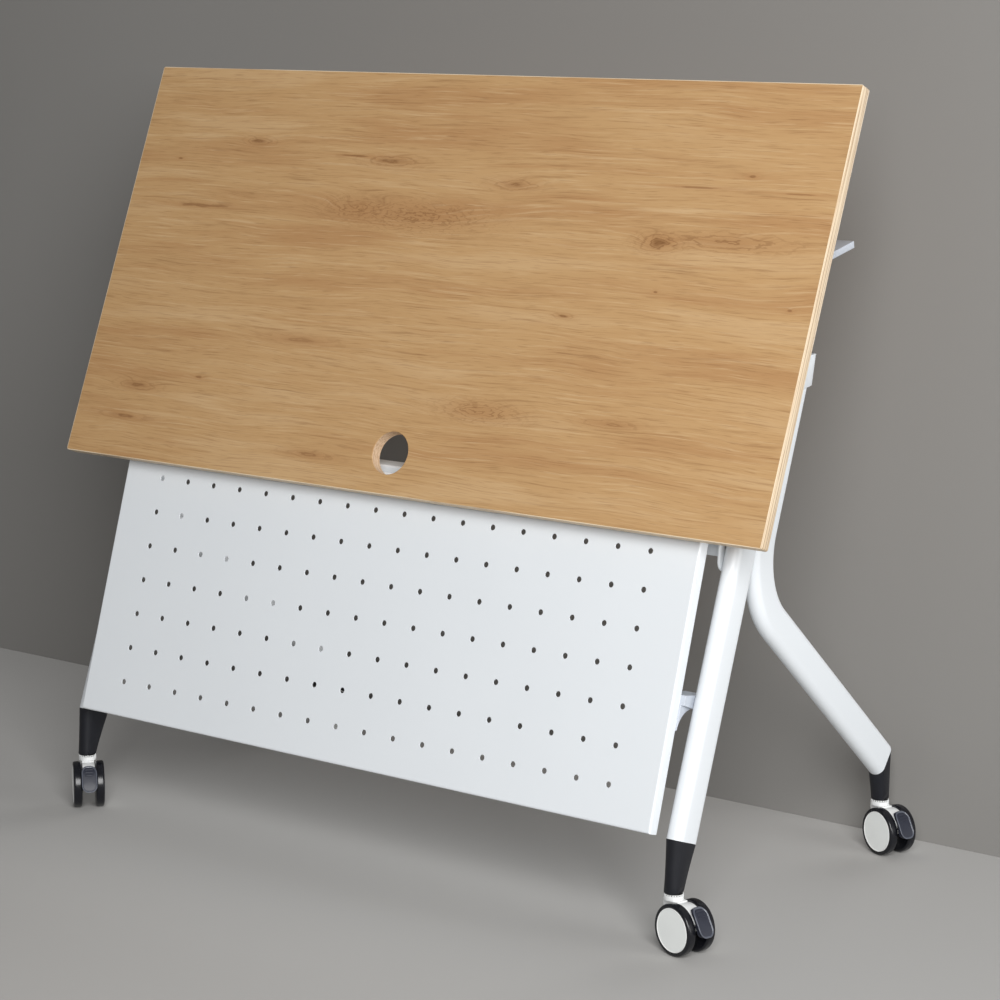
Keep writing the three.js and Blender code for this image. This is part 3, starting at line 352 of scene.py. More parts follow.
oak, tree, shader = finish("oak_laminate", Specular_IOR_Level=0.16)
split = add(tree, "ShaderNodeSeparateXYZ", {0: board_space(tree)})
along, across = split.outputs[0], split.outputs[1]
drift = step(tree, "SUBTRACT", streaks(tree, along, across, (2.2, 7.0), 2.0), 0.5)
flow = step(tree, "ADD", across, step(tree, "MULTIPLY", drift, 0.034))
curl = step(tree, "SUBTRACT", streaks(tree, along, across, (7.0, 24.0), 2.0, 0.5, 3.6), 0.5)
flow = step(tree, "ADD", flow, step(tree, "MULTIPLY", curl, 0.007))
wobble = step(tree, "SUBTRACT", streaks(tree, along, across, (38.0, 150.0), 3.0), 0.5)
wander = step(tree, "MULTIPLY", wobble, 0.9)
lines, cores, blushes = 0.0, 0.0, 0.0
for mark_x, mark_y, length, width, rings, line_share, core_share in MARKS:
    mark = add(tree, "ShaderNodeGroup", {"Along": along, "Across": across, "Wander": wander}, node_tree=swirl)
    for key, value in (("Place Along", mark_x), ("Place Across", mark_y), ("Length", length),
                       ("Width", width), ("Rings", rings)):
        mark.inputs[key].default_value = value
    lines = step(tree, "MULTIPLY_ADD", mark.outputs["Line"], line_share, lines)
    cores = step(tree, "MULTIPLY_ADD", mark.outputs["Core"], core_share, cores)
    blushes = step(tree, "ADD", mark.outputs["Blush"], blushes)
    flow = step(tree, "MULTIPLY_ADD", mark.outputs["Blush"], width * 0.9, flow)
# Four sizes of streak, from broad bands to pores: scale along and across, detail, roughness, seed
broad = streaks(tree, along, flow, (2.2, 22.0), 3.0, 0.55, 2.7)
ribbon = streaks(tree, along, flow, (3.4, 90.0), 4.0, 0.6, 5.1)
fibre = streaks(tree, along, flow, (9.0, 340.0), 3.0, 0.65, 8.3)
pores = streaks(tree, along, flow, (26.0, 760.0), 2.0, 0.5, 11.9)
# Each streak darkens or lightens the one before it, and the marks lie over them all
tone = blend_colour(tree, step(tree, "MULTIPLY", band(tree, broad, 0.48, 0.70), 0.62), OAK_MAIN, OAK_RED)
tone = blend_colour(tree, step(tree, "MULTIPLY", band(tree, broad, 0.46, 0.32), 0.36), tone, OAK_PALE)
tone = blend_colour(tree, step(tree, "MULTIPLY", band(tree, ribbon, 0.56, 0.76), 0.50), tone, OAK_RED)
tone = blend_colour(tree, step(tree, "MULTIPLY", band(tree, ribbon, 0.44, 0.24), 0.55), tone, OAK_PALE)
tone = blend_colour(tree, step(tree, "MULTIPLY", band(tree, fibre, 0.54, 0.72), 0.36), tone, OAK_DARK)
tone = blend_colour(tree, step(tree, "MULTIPLY", band(tree, fibre, 0.46, 0.28), 0.60), tone, OAK_PALE)
tone = blend_colour(tree, step(tree, "MULTIPLY", band(tree, pores, 0.56, 0.70), 0.30), tone, OAK_DARK)
tone = blend_colour(tree, step(tree, "MULTIPLY", blushes, 0.62, clamp=True), tone, OAK_RED)
tone = blend_colour(tree, step(tree, "MULTIPLY", lines, 0.95, clamp=True), tone, OAK_DARK)
tone = blend_colour(tree, step(tree, "MULTIPLY", cores, 0.85, clamp=True), tone, OAK_DARK)
tree.links.new(tone, shader.inputs["Base Color"])
gloss = add(tree, "ShaderNodeMapRange", {"Value": fibre, "To Min": 0.58, "To Max": 0.74})
tree.links.new(gloss.outputs[0], shader.inputs["Roughness"])
relief = add(tree, "ShaderNodeBump", {"Height": fibre, "Strength": 0.25, "Distance": 0.0002})
tree.links.new(relief.outputs[0], shader.inputs["Normal"])
oak_top.data.materials.append(oak)

# The cable hole is drilled through the bare board: pale pressed chips, unpainted
BARE_PALE = (0.740, 0.545, 0.370, 1)
BARE_CHIP = (0.520, 0.330, 0.190, 1)
bare, tree, shader = finish("bare_board", Roughness=0.85, Specular_IOR_Level=0.15)
split = add(tree, "ShaderNodeSeparateXYZ", {0: board_space(tree)})
chips = streaks(tree, step(tree, "ADD", split.outputs[0], split.outputs[1]), split.outputs[2],
                (170.0, 620.0), 3.0, 0.6, 1.9)
tone = blend_colour(tree, band(tree, chips, 0.40, 0.68), BARE_PALE, BARE_CHIP)
tree.links.new(tone, shader.inputs["Base Color"])
rough_cut = add(tree, "ShaderNodeBump", {"Height": chips, "Strength": 0.4, "Distance": 0.0003})
tree.links.new(rough_cut.outputs[0], shader.inputs["Normal"])
oak_top.data.materials.append(bare)
BORED_ROWS = [0, 1, 1, 0, 0, 0]  # rows of the board's grid that are the hole's bare wall
bored = np.repeat(BORED_ROWS, len(spokes))
oak_top.data.polygons.foreach_set("material_index", bored.astype(np.int32))
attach(oak_top, "top")
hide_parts("tabletop")

# Edge band. A cream plastic strip printed like plywood, glued round the board and trimmed with
# slightly eased corners.
BAND_EASE = 0.0006
BAND_CORNER = 0.0030


def round_outline(half_x, half_y, corner, steps):
    """Points round a rectangle with round corners, and the way out at each of them."""
    turn = np.linspace(0, np.pi / 2, steps)
    turns = np.concatenate([turn + quarter * np.pi / 2 for quarter in range(4)])
    out = np.stack([np.cos(turns), np.sin(turns)], -1)
    centres = np.repeat([[1, 1], [-1, 1], [-1, -1], [1, -1]], steps, 0) * [half_x - corner, half_y - corner]
    return centres + corner * out, out


outline, out = round_outline(TOP_HALF, (TOP_NEAR - TOP_FAR) / 2, BAND_CORNER, 6)
outline = outline + [0, (TOP_NEAR + TOP_FAR) / 2]
profile = [
    (-BAND, UNDERSIDE),
    (-BAND_EASE, UNDERSIDE),
    (-0.3 * BAND_EASE, UNDERSIDE + 0.3 * BAND_EASE),
    (0, UNDERSIDE + BAND_EASE),
    (0, TOP_FACE - BAND_EASE),
    (-0.3 * BAND_EASE, TOP_FACE - 0.3 * BAND_EASE),
    (-BAND_EASE, TOP_FACE),
    (-BAND, TOP_FACE),
]
loops = [np.column_stack([outline + out * d, np.full(len(outline), z)]) for d, z in profile]
edge_strip = skin("edge_strip", tipped(np.array(loops)), round_rows=True, crease=50)

PLY_CREAM = (0.610, 0.450, 0.285, 1)
PLY_PALE = (0.760, 0.625, 0.450, 1)
PLY_LINE = (0.260, 0.135, 0.064, 1)
# Printed plies: place through the thickness from the underside, half width and strength
PLY_LINES = [(0.74, 0.040, 0.85), (0.42, 0.036, 0.80), (0.20, 0.034, 0.58), (0.94, 0.018, 0.50)]
ply, tree, shader = finish("ply_edge", Roughness=0.5, Specular_IOR_Level=0.3)
split = add(tree, "ShaderNodeSeparateXYZ", {0: board_space(tree)})
depth = add(tree, "ShaderNodeMapRange",
            {"Value": split.outputs[2], "From Min": UNDERSIDE, "From Max": TOP_FACE}).outputs[0]
run = step(tree, "ADD", split.outputs[0], split.outputs[1])
grain = streaks(tree, run, depth, (9.0, 9.0), 3.0, 0.6, 3.3)
tone = blend_colour(tree, band(tree, grain, 0.42, 0.70), PLY_PALE, PLY_CREAM)
for order, (place, width, strength) in enumerate(PLY_LINES):
    sway = step(tree, "SUBTRACT", streaks(tree, run, depth, (3.0, 0.2), 2.0, 0.5, 4.0 * order), 0.5)
    bent_depth = step(tree, "MULTIPLY_ADD", sway, 0.30, depth)
    gap = step(tree, "ABSOLUTE", step(tree, "SUBTRACT", bent_depth, place))
    line = step(tree, "SUBTRACT", 1.0, band(tree, gap, 0.4 * width, 1.5 * width))
    fading = band(tree, streaks(tree, run, depth, (14.0, 0.5), 2.0, 0.5, 7.7 + order), 0.30, 0.60)
    share = step(tree, "MULTIPLY", step(tree, "MULTIPLY_ADD", fading, 0.7, 0.3), strength)
    tone = blend_colour(tree, step(tree, "MULTIPLY", line, share), tone, PLY_LINE)
tree.links.new(tone, shader.inputs["Base Color"])
edge_strip.data.materials.append(ply)
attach(edge_strip, "top")
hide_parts("edge_band")

# White powder coat, on every steel piece: baked paint with a faint orange peel and a slow drift
# of tone. The same texture, at other scales, is on the moulded pieces.
texture = bpy.data.node_groups.new("moulded_texture", "ShaderNodeTree")
for name, kind in (("Colour A", "NodeSocketColor"), ("Colour B", "NodeSocketColor"),
                   ("Drift Scale", "NodeSocketFloat"), ("Fine Scale", "NodeSocketFloat")):
    texture.interface.new_socket(name, in_out="INPUT", socket_type=kind)
for name, kind in (("Colour", "NodeSocketColor"), ("Height", "NodeSocketFloat"),
                   ("Drift", "NodeSocketFloat")):
    texture.interface.new_socket(name, in_out="OUTPUT", socket_type=kind)
given = texture.nodes.new("NodeGroupInput")
result = texture.nodes.new("NodeGroupOutput")
where = add(texture, "ShaderNodeTexCoord")
slow = add(texture, "ShaderNodeTexNoise",
           {"Vector": where.outputs["Object"], "Scale": given.outputs["Drift Scale"], "Detail": 3.0})
fine = add(texture, "ShaderNodeTexNoise",
           {"Vector": where.outputs["Object"], "Scale": given.outputs["Fine Scale"], "Detail": 2.0})
mixed = blend_colour(texture, slow.outputs["Fac"], given.outputs["Colour A"], given.outputs["Colour B"])
texture.links.new(mixed, result.inputs["Colour"])
texture.links.new(fine.outputs["Fac"], result.inputs["Height"])
texture.links.new(slow.outputs["Fac"], result.inputs["Drift"])


def textured(name, colour_a, colour_b, drift, fine, rough, bump, **sockets):
    """A painted or moulded finish: two close tones, a roughness range and a fine texture."""
    material, tree, shader = finish(name, **sockets)
    group = add(tree, "ShaderNodeGroup", node_tree=texture)
    for key, value in (("Colour A", colour_a), ("Colour B", colour_b),
                       ("Drift Scale", drift), ("Fine Scale", fine)):
        group.inputs[key].default_value = value
    tree.links.new(group.outputs["Colour"], shader.inputs["Base Color"])
    shine = add(tree, "ShaderNodeMapRange",
                {"Value": group.outputs["Drift"], "To Min": rough[0], "To Max": rough[1]})
    tree.links.new(shine.outputs[0], shader.inputs["Roughness"])
    peel = add(tree, "ShaderNodeBump",
               {"Height": group.outputs["Height"], "Strength": bump, "Distance": 0.0002})
    tree.links.new(peel.outputs[0], shader.inputs["Normal"])
    return material


powder = textured("white_powder_coat", (0.772, 0.806, 0.836, 1), (0.742, 0.776, 0.806, 1),
                  drift=6.0, fine=900.0, rough=(0.34, 0.44), bump=0.12)

# Main tubes. Flat-oval steel tube, leaning back from the pivot head, bent once and run out to the
# rear foot. The end is cut square and closed by the foot.
LEG_X = 0.517
TUBE_R = 0.0125
TUBE_FLAT = 0.0125
MAIN_LEAN = np.radians(19.8)
MAIN_DROP = np.radians(39.2)
MAIN_BEND_R = 0.117
BEND_STEPS = 28
TUBE_IN_HEAD = 0.007
STEM_Y = 0.2666
MAIN_TOP = np.array([-0.0107, 0.6925]) + TUBE_IN_HEAD * np.array([np.tan(MAIN_LEAN), 1])
MAIN_END = np.array([0.2613, 0.1320])
SIDES = (("left", -1), ("right", 1))


def heading(angle):
    """The way in the side view, as (y, z), at an angle from level."""
    return np.stack([np.cos(angle), np.sin(angle)], -1)


def oval(count=40):
    """A flat-oval section: the share across and the place along its depth, going round."""
    turn = np.linspace(-np.pi / 2, np.pi / 2, count // 2)
    half = np.stack([TUBE_R * np.sin(turn), TUBE_FLAT + TUBE_R * np.cos(turn)], -1)
    return np.concatenate([half, -half])


def sweep(centres, deep, section):
    """A section carried along a line in the side view: rows along the line, columns round it."""
    y = centres[:, :1] + deep[:, :1] * section[:, 1]
    z = centres[:, 1:] + deep[:, 1:] * section[:, 1]
    return np.stack([np.broadcast_to(section[:, 0], y.shape), y, z], -1)


def on_leg(grid, sign):
    """Moves a piece drawn on the leg's middle plane to the left or right leg."""
    return grid * [sign, 1, 1] + [sign * LEG_X, 0, 0]


up_run, down_run = heading(np.pi / 2 - MAIN_LEAN), heading(-MAIN_DROP)
span = MAIN_TOP - MAIN_END
climb = span[0] * down_run[1] - span[1] * down_run[0]
climb = climb / (up_run[0] * down_run[1] - up_run[1] * down_run[0])
meeting = MAIN_TOP - climb * up_run
bend = np.pi / 2 + MAIN_LEAN - MAIN_DROP
bend_from = meeting + up_run * MAIN_BEND_R * np.tan(bend / 2)
hub = bend_from + heading(-MAIN_LEAN) * MAIN_BEND_R
turns = np.linspace(0, bend, BEND_STEPS)
inward = heading(-MAIN_LEAN + turns)
line = np.concatenate([[MAIN_TOP], hub - inward * MAIN_BEND_R, [MAIN_END]])
inward = np.concatenate([inward[:1], inward, inward[-1:]])
for side, sign in SIDES:
    tube = skin(f"bent_tube_{side}", on_leg(sweep(line, inward, oval()), sign), ends=True)
    tube.data.materials.append(powder)
    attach(tube, "frame")
    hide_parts(f"main_tube_{side}")

# Front tubes. The same tube, straight, coped and welded to the front of the main tube just under
# the crossbeam, and cut square at the front foot.
FRONT_LEAN = np.radians(19.4)
FRONT_END = np.array([-0.2523, 0.1360])
FRONT_TOP_Z = 0.560
front_run = heading(np.pi / 2 - FRONT_LEAN)
front_deep = heading(-FRONT_LEAN)
front_line = FRONT_END + np.outer([0, (FRONT_TOP_Z - FRONT_END[1]) / front_run[1]], front_run)
for side, sign in SIDES:
    tube = skin(f"straight_tube_{side}", on_leg(sweep(front_line, np.tile(front_deep, (2, 1)), oval()), sign),
                ends=True)
    tube.data.materials.append(powder)
    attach(tube, "frame")
    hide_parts(f"front_tube_{side}")

# Pivot heads, top brackets, crossbeam and panel brackets. Castings, pressed plates and a welded box
# beam: the frame's own shapes with their edges broken and painted.
EDGE_BREAKS = {"pivot_head": 0.0010, "top_bracket": 0.0006, "panel_strap": 0.0005}
BEAM_BREAK = 0.0006
WELD_GAP = 1e-5
CREASE = np.radians(35)
FLATNESS = np.radians(0.5)


def break_edges(node, width, segments=3):
    """Welds a frame node's loose triangles, joins its flat faces, rounds its sharp edges and shades
    it smooth."""
    node.data.shade_smooth()
    weld = node.modifiers.new("weld", "WELD")
    weld.merge_threshold = WELD_GAP
    flat = node.modifiers.new("flat_faces", "DECIMATE")
    flat.decimate_type = "DISSOLVE"
    flat.angle_limit = FLATNESS
    rounding = node.modifiers.new("edge_break", "BEVEL")
    rounding.width = width
    rounding.segments = segments
    rounding.limit_method = "ANGLE"
    rounding.angle_limit = CREASE
    rounding.use_clamp_overlap = False
    rounding.harden_normals = True
    return node


for stem, width in EDGE_BREAKS.items():
    for side, _ in SIDES:
        node = break_edges(frame["nodes"][f"{stem}_{side}"], width)
        node.data.materials.clear()
        node.data.materials.append(powder)
beam = break_edges(frame["nodes"]["crossbeam"], BEAM_BREAK)
beam.data.materials.clear()
beam.data.materials.append(powder)

# Modesty panel. One steel sheet, punched with a grid of round holes, folded back along all four
# edges and painted. It leans with the front tubes, held by straps above and corbels below.
PANEL_MIDDLE = np.array([-0.2387, 0.3456])
PANEL_LEAN = np.radians(16.49)
PANEL_HALF = 0.4975
PANEL_TALL = 0.202
PANEL_FOLD = 0.017
PANEL_SHEET = 0.0015
FOLD_R = 0.0025
PITCH = 0.050
PUNCH_R = 0.0039
PUNCH_EASE = 0.0004
PUNCH_SIDES = 24
COLUMNS, ROWS = 18, 7
HOLE_DROP = 0.002


def leaning(points):
    """Stands a panel drawn upright, with Y behind its front face, in its leaning place."""
    x, y, z = np.moveaxis(points, -1, 0)
    up = np.array([0, np.sin(PANEL_LEAN), np.cos(PANEL_LEAN)])
    back = np.array([0, up[2], -up[1]])
    return x[..., None] * [1, 0, 0] + y[..., None] * back + z[..., None] * up + [0, *PANEL_MIDDLE]


# Each hole fills one square cell: rings from the punched wall out to the cell's own square
turn = 2 * np.pi * np.arange(PUNCH_SIDES) / PUNCH_SIDES
circle = np.stack([np.cos(turn), np.sin(turn)], -1)
square = circle / np.abs(circle).max(1, keepdims=True) * PITCH / 2
punched_wall = [
    (PUNCH_R + PUNCH_EASE, PANEL_SHEET),
    (PUNCH_R, PANEL_SHEET),
    (PUNCH_R, PUNCH_EASE),
    (PUNCH_R + 0.3 * PUNCH_EASE, 0.3 * PUNCH_EASE),
    (PUNCH_R + PUNCH_EASE, 0),
    (PUNCH_R + 1.5 * PUNCH_EASE, 0),
]
cell = [np.column_stack([circle[:, 0] * r, np.full(PUNCH_SIDES, y), circle[:, 1] * r])
        for r, y in punched_wall]
cell.append(np.column_stack([square[:, 0], np.zeros(PUNCH_SIDES), square[:, 1]]))
cell.insert(0, np.column_stack([square[:, 0], np.full(PUNCH_SIDES, PANEL_SHEET), square[:, 1]]))
cell = np.array(cell)
across_x = (np.arange(COLUMNS) - (COLUMNS - 1) / 2) * PITCH
up_z = (np.arange(ROWS) - (ROWS - 1) / 2) * PITCH - HOLE_DROP
places = np.stack(np.meshgrid(across_x, [0.0], up_z, indexing="ij"), -1).reshape(-1, 3)
cells = places[:, None, None, :] + cell
ring_count = len(cell)
index = np.arange(ring_count * PUNCH_SIDES).reshape(ring_count, PUNCH_SIDES)
quads = np.stack([index[:-1], np.roll(index[:-1], -1, 1), np.roll(index[1:], -1, 1), index[1:]], -1)
first = np.arange(len(places)) * ring_count * PUNCH_SIDES
faces = (quads.reshape(-1, 4) + first[:, None, None]).reshape(-1, 4)
punched = leaning(cells).reshape(-1, 3)

# The plain border round the cells, then the fold and the flange, as rings of one outline
grid_x, grid_z = COLUMNS * PITCH / 2, ROWS * PITCH / 2
cell_side = np.tan(np.linspace(-np.pi / 4, np.pi / 4, PUNCH_SIDES // 4 + 1)) * PITCH / 2
ticks_x = np.append((across_x[:, None] + cell_side[:-1]).ravel(), grid_x)
ticks_z = np.append((up_z[:, None] + HOLE_DROP + cell_side[:-1]).ravel(), grid_z)


def frame_ring(half_x, low, high, y):
    """One ring round the panel, with a point for every point of the cells along each side."""
    share_x, share_z = ticks_x / grid_x, (ticks_z / grid_z + 1) / 2
    bottom = np.column_stack([half_x * share_x, np.full(len(share_x), low)])[:-1]
    right = np.column_stack([np.full(len(share_z), half_x), low + (high - low) * share_z])[:-1]
    top = np.column_stack([-half_x * share_x, np.full(len(share_x), high)])[:-1]
    left = np.column_stack([np.full(len(share_z), -half_x), high - (high - low) * share_z])[:-1]
    loop = np.concatenate([bottom, right, top, left])
    return np.column_stack([loop[:, 0], np.full(len(loop), y), loop[:, 1]])


bendings = np.linspace(0, np.pi / 2, 6)
outside = [(FOLD_R * (1 - np.sin(b)), FOLD_R * (1 - np.cos(b))) for b in bendings]
inside = [(max(FOLD_R - (FOLD_R - PANEL_SHEET) * np.sin(b), PANEL_SHEET),
           FOLD_R - (FOLD_R - PANEL_SHEET) * np.cos(b)) for b in bendings[::-1]]
border = [(None, 0.0), (1.2 * FOLD_R, 0.0)] + outside
border += [(0.0, PANEL_FOLD - PUNCH_EASE), (0.0, PANEL_FOLD), (PANEL_SHEET, PANEL_FOLD)]
border += inside + [(1.2 * FOLD_R, PANEL_SHEET), (None, PANEL_SHEET)]
rings = []
for inset, y in border:
    if inset is None:
        rings.append(frame_ring(grid_x, -grid_z - HOLE_DROP, grid_z - HOLE_DROP, y))
    else:
        rings.append(frame_ring(PANEL_HALF - inset, inset - PANEL_TALL, PANEL_TALL - inset, y))
edge_grid = leaning(np.array(rings))
index = len(punched) + np.arange(edge_grid.shape[0] * edge_grid.shape[1]).reshape(edge_grid.shape[:2])
edge_faces = np.stack([index[:-1], np.roll(index[:-1], -1, 1), np.roll(index[1:], -1, 1), index[1:]], -1)
pierced = mesh_piece("pierced_panel", np.concatenate([punched, edge_grid.reshape(-1, 3)]),
                     faces.tolist() + edge_faces.reshape(-1, 4).tolist(), crease=30)
pierced.data.materials.append(powder)
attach(pierced, "frame")
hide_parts("modesty_panel")

# Feet. Black nylon mouldings plugged into the tube ends, tapering from the tube's oval to the round
# socket that takes the caster stem.
FOOT_BOTTOM = 0.073
FOOT_R = 0.013
FOOT_ROUND = 0.0015
SEAM = 0.0003
LIP_SHARE = 0.975
FOOT_SIDES = 48
nylon = textured("black_moulding", (0.0075, 0.0082, 0.0115, 1), (0.0120, 0.0128, 0.0170, 1),
                 drift=60.0, fine=1500.0, rough=(0.42, 0.54), bump=0.30, Specular_IOR_Level=0.32)
feet = (("front", FRONT_END, -front_run, front_deep, -STEM_Y),
        ("rear", MAIN_END, down_run, heading(-MAIN_LEAN + bend), STEM_Y))
for place, end, run, deep, stem_y in feet:
    section = oval(FOOT_SIDES)
    spin = np.arctan2(section[:, 1], section[:, 0])
    lip = end + run * SEAM
    top_ring = sweep(lip[None], deep[None], section)[0]
    eased = sweep(lip[None], deep[None], section * LIP_SHARE)[0]
    round_ring = np.column_stack([FOOT_R * np.cos(spin), stem_y + FOOT_R * np.sin(spin),
                                  np.full(len(spin), FOOT_BOTTOM + FOOT_ROUND)])
    share = np.linspace(0, 1, 9)[:, None, None]
    body = top_ring + (round_ring - top_ring) * share
    dips = np.linspace(0, np.pi / 2, 5)[1:, None]
    under = [np.column_stack([
        (FOOT_R - FOOT_ROUND * (1 - np.cos(d))) * np.cos(spin),
        stem_y + (FOOT_R - FOOT_ROUND * (1 - np.cos(d))) * np.sin(spin),
        np.full(len(spin), FOOT_BOTTOM + FOOT_ROUND * (1 - np.sin(d)))]) for d in dips.ravel()]
    grid = np.concatenate([eased[None], body, np.array(under)])
    for side, sign in SIDES:
        foot = skin(f"{place}_taper_foot_{side}", on_leg(grid, sign), ends=True, crease=40)
        foot.data.materials.append(nylon)
        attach(foot, "frame")
        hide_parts(f"{place}_foot_{side}")

# Panel corbels. White brackets that prop the panel's lower edge, coloured a darker blue-grey as
# painted shade: an arm from behind the panel's flange to the front tube, a thinner curved web under
# it, and a pad clipped inside the fold.
CORBEL_HIGH = -0.0243
CORBEL_FOOT = CORBEL_HIGH - 0.046
CORBEL_ARM = 0.013
CORBEL_FALL = 0.009
CORBEL_PAST = 0.014
CORBEL_OUT = LEG_X - TUBE_R - 0.0001
CORBEL_IN = CORBEL_OUT - 0.034
WEB_INSET = 0.0045
WEB_BACK = 0.0010
WEB_LAPS = 0.004, 0.005
PAD_PAST = 0.0010
SEAT = 0.0002
CORBEL_BREAK = 0.0008
# Painted shade: white darkened to a blue-grey, the look of white pieces lying in shade
shaded_white = textured("shaded_white_moulding", (0.520, 0.556, 0.615, 1), (0.490, 0.526, 0.585, 1),
                      drift=30.0, fine=1200.0, rough=(0.34, 0.42), bump=0.10)


def behind_panel(back, up):
    """The place in the side view, as (y, z), so far behind the panel's face and up from its middle."""
    return leaning(np.array([0.0, back, up]))[1:]


def leg_axis(z):
    """The place of the front tube's centre line, as (y, z), at a height."""
    return FRONT_END + front_run * (z - FRONT_END[1]) / front_run[1]


def prism(outline, root, reach):
    """A side-view outline of (y, z) points carried straight across from one x to another."""
    return np.stack([np.column_stack([np.full(len(outline), x), outline]) for x in (root, reach)])


behind = PANEL_FOLD + SEAT
high = behind_panel(behind, CORBEL_HIGH)
under_arm = behind_panel(behind, CORBEL_HIGH - CORBEL_ARM)
foot_tip = behind_panel(behind, CORBEL_FOOT)
leg_top = high[1] - CORBEL_FALL
leg_low = leg_top - CORBEL_ARM
leg_point = np.array([leg_axis(leg_low)[0] - TUBE_FLAT, leg_low])
tip = leg_axis(leg_top)[0] + CORBEL_PAST
arm = np.array([high, under_arm, leg_point, (tip, leg_low), (tip, leg_top)])
share = np.linspace(0, 1, 10)[:, None]
elbow = np.array([foot_tip[0] + PANEL_FOLD / 2, leg_low])
hollow = (1 - share) ** 2 * foot_tip + 2 * share * (1 - share) * elbow + share ** 2 * leg_point
web = np.concatenate([[under_arm + (0, WEB_LAPS[0])], hollow, [leg_point + (0, WEB_LAPS[1])]])
pad = np.array([behind_panel(back, up) for back, up in (
    (PANEL_SHEET + SEAT, CORBEL_HIGH), (PANEL_SHEET + SEAT, CORBEL_FOOT),
    (behind + PAD_PAST, CORBEL_FOOT), (behind + PAD_PAST, CORBEL_HIGH))])
inner_face = PANEL_HALF - PANEL_SHEET - SEAT
blocks = (prism(arm, CORBEL_IN, CORBEL_OUT), prism(web, CORBEL_IN + WEB_BACK, CORBEL_OUT - WEB_INSET),
          prism(pad, CORBEL_IN, inner_face))
for side, sign in SIDES:
    corbel = skin(f"corbel_{side}", *[block * [sign, 1, 1] for block in blocks], ends=True)
    break_edges(corbel, CORBEL_BREAK)
    corbel.data.materials.append(shaded_white)
    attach(corbel, "frame")
    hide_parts(f"panel_corbel_{side}")

# Locking levers and pins. White moulded levers, coloured a darker blue-grey as painted shade, with a
# broad hand paddle, hung on turned steel pins between the ears of the top brackets: the frame's own
# shapes with their edges broken.
LEVER_BREAK = 0.0006
PIN_BREAK = 0.0005
ivory = textured("white_moulding", (0.795, 0.806, 0.802, 1), (0.765, 0.776, 0.772, 1),
                 drift=30.0, fine=1200.0, rough=(0.30, 0.38), bump=0.10)
steel = textured("bright_steel", (0.560, 0.560, 0.550, 1), (0.470, 0.470, 0.460, 1),
                 drift=90.0, fine=2000.0, rough=(0.22, 0.34), bump=0.15, Metallic=1.0)
for side, _ in SIDES:
    lever = break_edges(frame["nodes"][f"lock_lever_{side}"], LEVER_BREAK)
    lever.data.materials.clear()
    # The levers take the same blue-grey painted shade as the corbels
    lever.data.materials.append(shaded_white)
    for stem in ("pivot_pin", "lever_pin"):
        pin = break_edges(frame["nodes"][f"{stem}_{side}"], PIN_BREAK)
        pin.data.materials.clear()
        pin.data.materials.append(steel)

# Caster wheels. Twin black wheels with a soft tread, each with a white cover disc snapped into its
# outer face. Each caster trails at its own angle, as it was last pushed.
TRAIL = 0.0225
WHEEL_R = 0.0335
WHEEL_HALF = 0.00625
WHEEL_Y = 0.01625
DISC_R = 0.0284
DISC_RECESS = 0.0024
AXLE_BORE_R = 0.0046
WHEEL_SIDES = 72
CORNERS = {
    "front_right": (1, -1, np.radians(-16)),
    "rear_right": (1, 1, np.radians(-23)),
    "front_left": (-1, -1, np.radians(-42)),
    "rear_left": (-1, 1, np.radians(45)),
}
tyre_black = textured("tyre_black", (0.0055, 0.0060, 0.0085, 1), (0.0090, 0.0096, 0.0130, 1),
                      drift=80.0, fine=1800.0, rough=(0.20, 0.28), bump=0.10, Specular_IOR_Level=0.42)
cover_white = textured("cover_white", (0.835, 0.860, 0.846, 1), (0.810, 0.835, 0.822, 1),
                       drift=40.0, fine=1500.0, rough=(0.30, 0.40), bump=0.10)
rim_white = textured("cover_rim_white", (0.875, 0.885, 0.872, 1), (0.850, 0.860, 0.847, 1),
                     drift=40.0, fine=1500.0, rough=(0.24, 0.32), bump=0.08)


def turned(profile, sides):
    """A profile of (radius, place) spun about the Y axis: rows along it, columns round it."""
    profile = np.asarray(profile)
    turn = 2 * np.pi * np.arange(sides) / sides
    r, y = profile[:, :1], profile[:, 1:]
    return np.stack([r * np.cos(turn), np.broadcast_to(y, (len(profile), sides)), r * np.sin(turn)], -1)


def arc(centre, r, start, stop, steps):
    """Points of an arc in a profile, from one angle in degrees to another."""
    turn = np.radians(np.linspace(start, stop, steps))
    return np.column_stack([centre[0] + r * np.cos(turn), centre[1] + r * np.sin(turn)])


def on_caster(grid, corner):
    """Moves a piece drawn round the stem, trailing along X, to its own corner and angle."""
    side, end, angle = CORNERS[corner]
    x, y, z = np.moveaxis(grid, -1, 0)
    return np.stack([
        x * np.cos(angle) - y * np.sin(angle) + side * LEG_X,
        x * np.sin(angle) + y * np.cos(angle) + end * STEM_Y, z], -1)


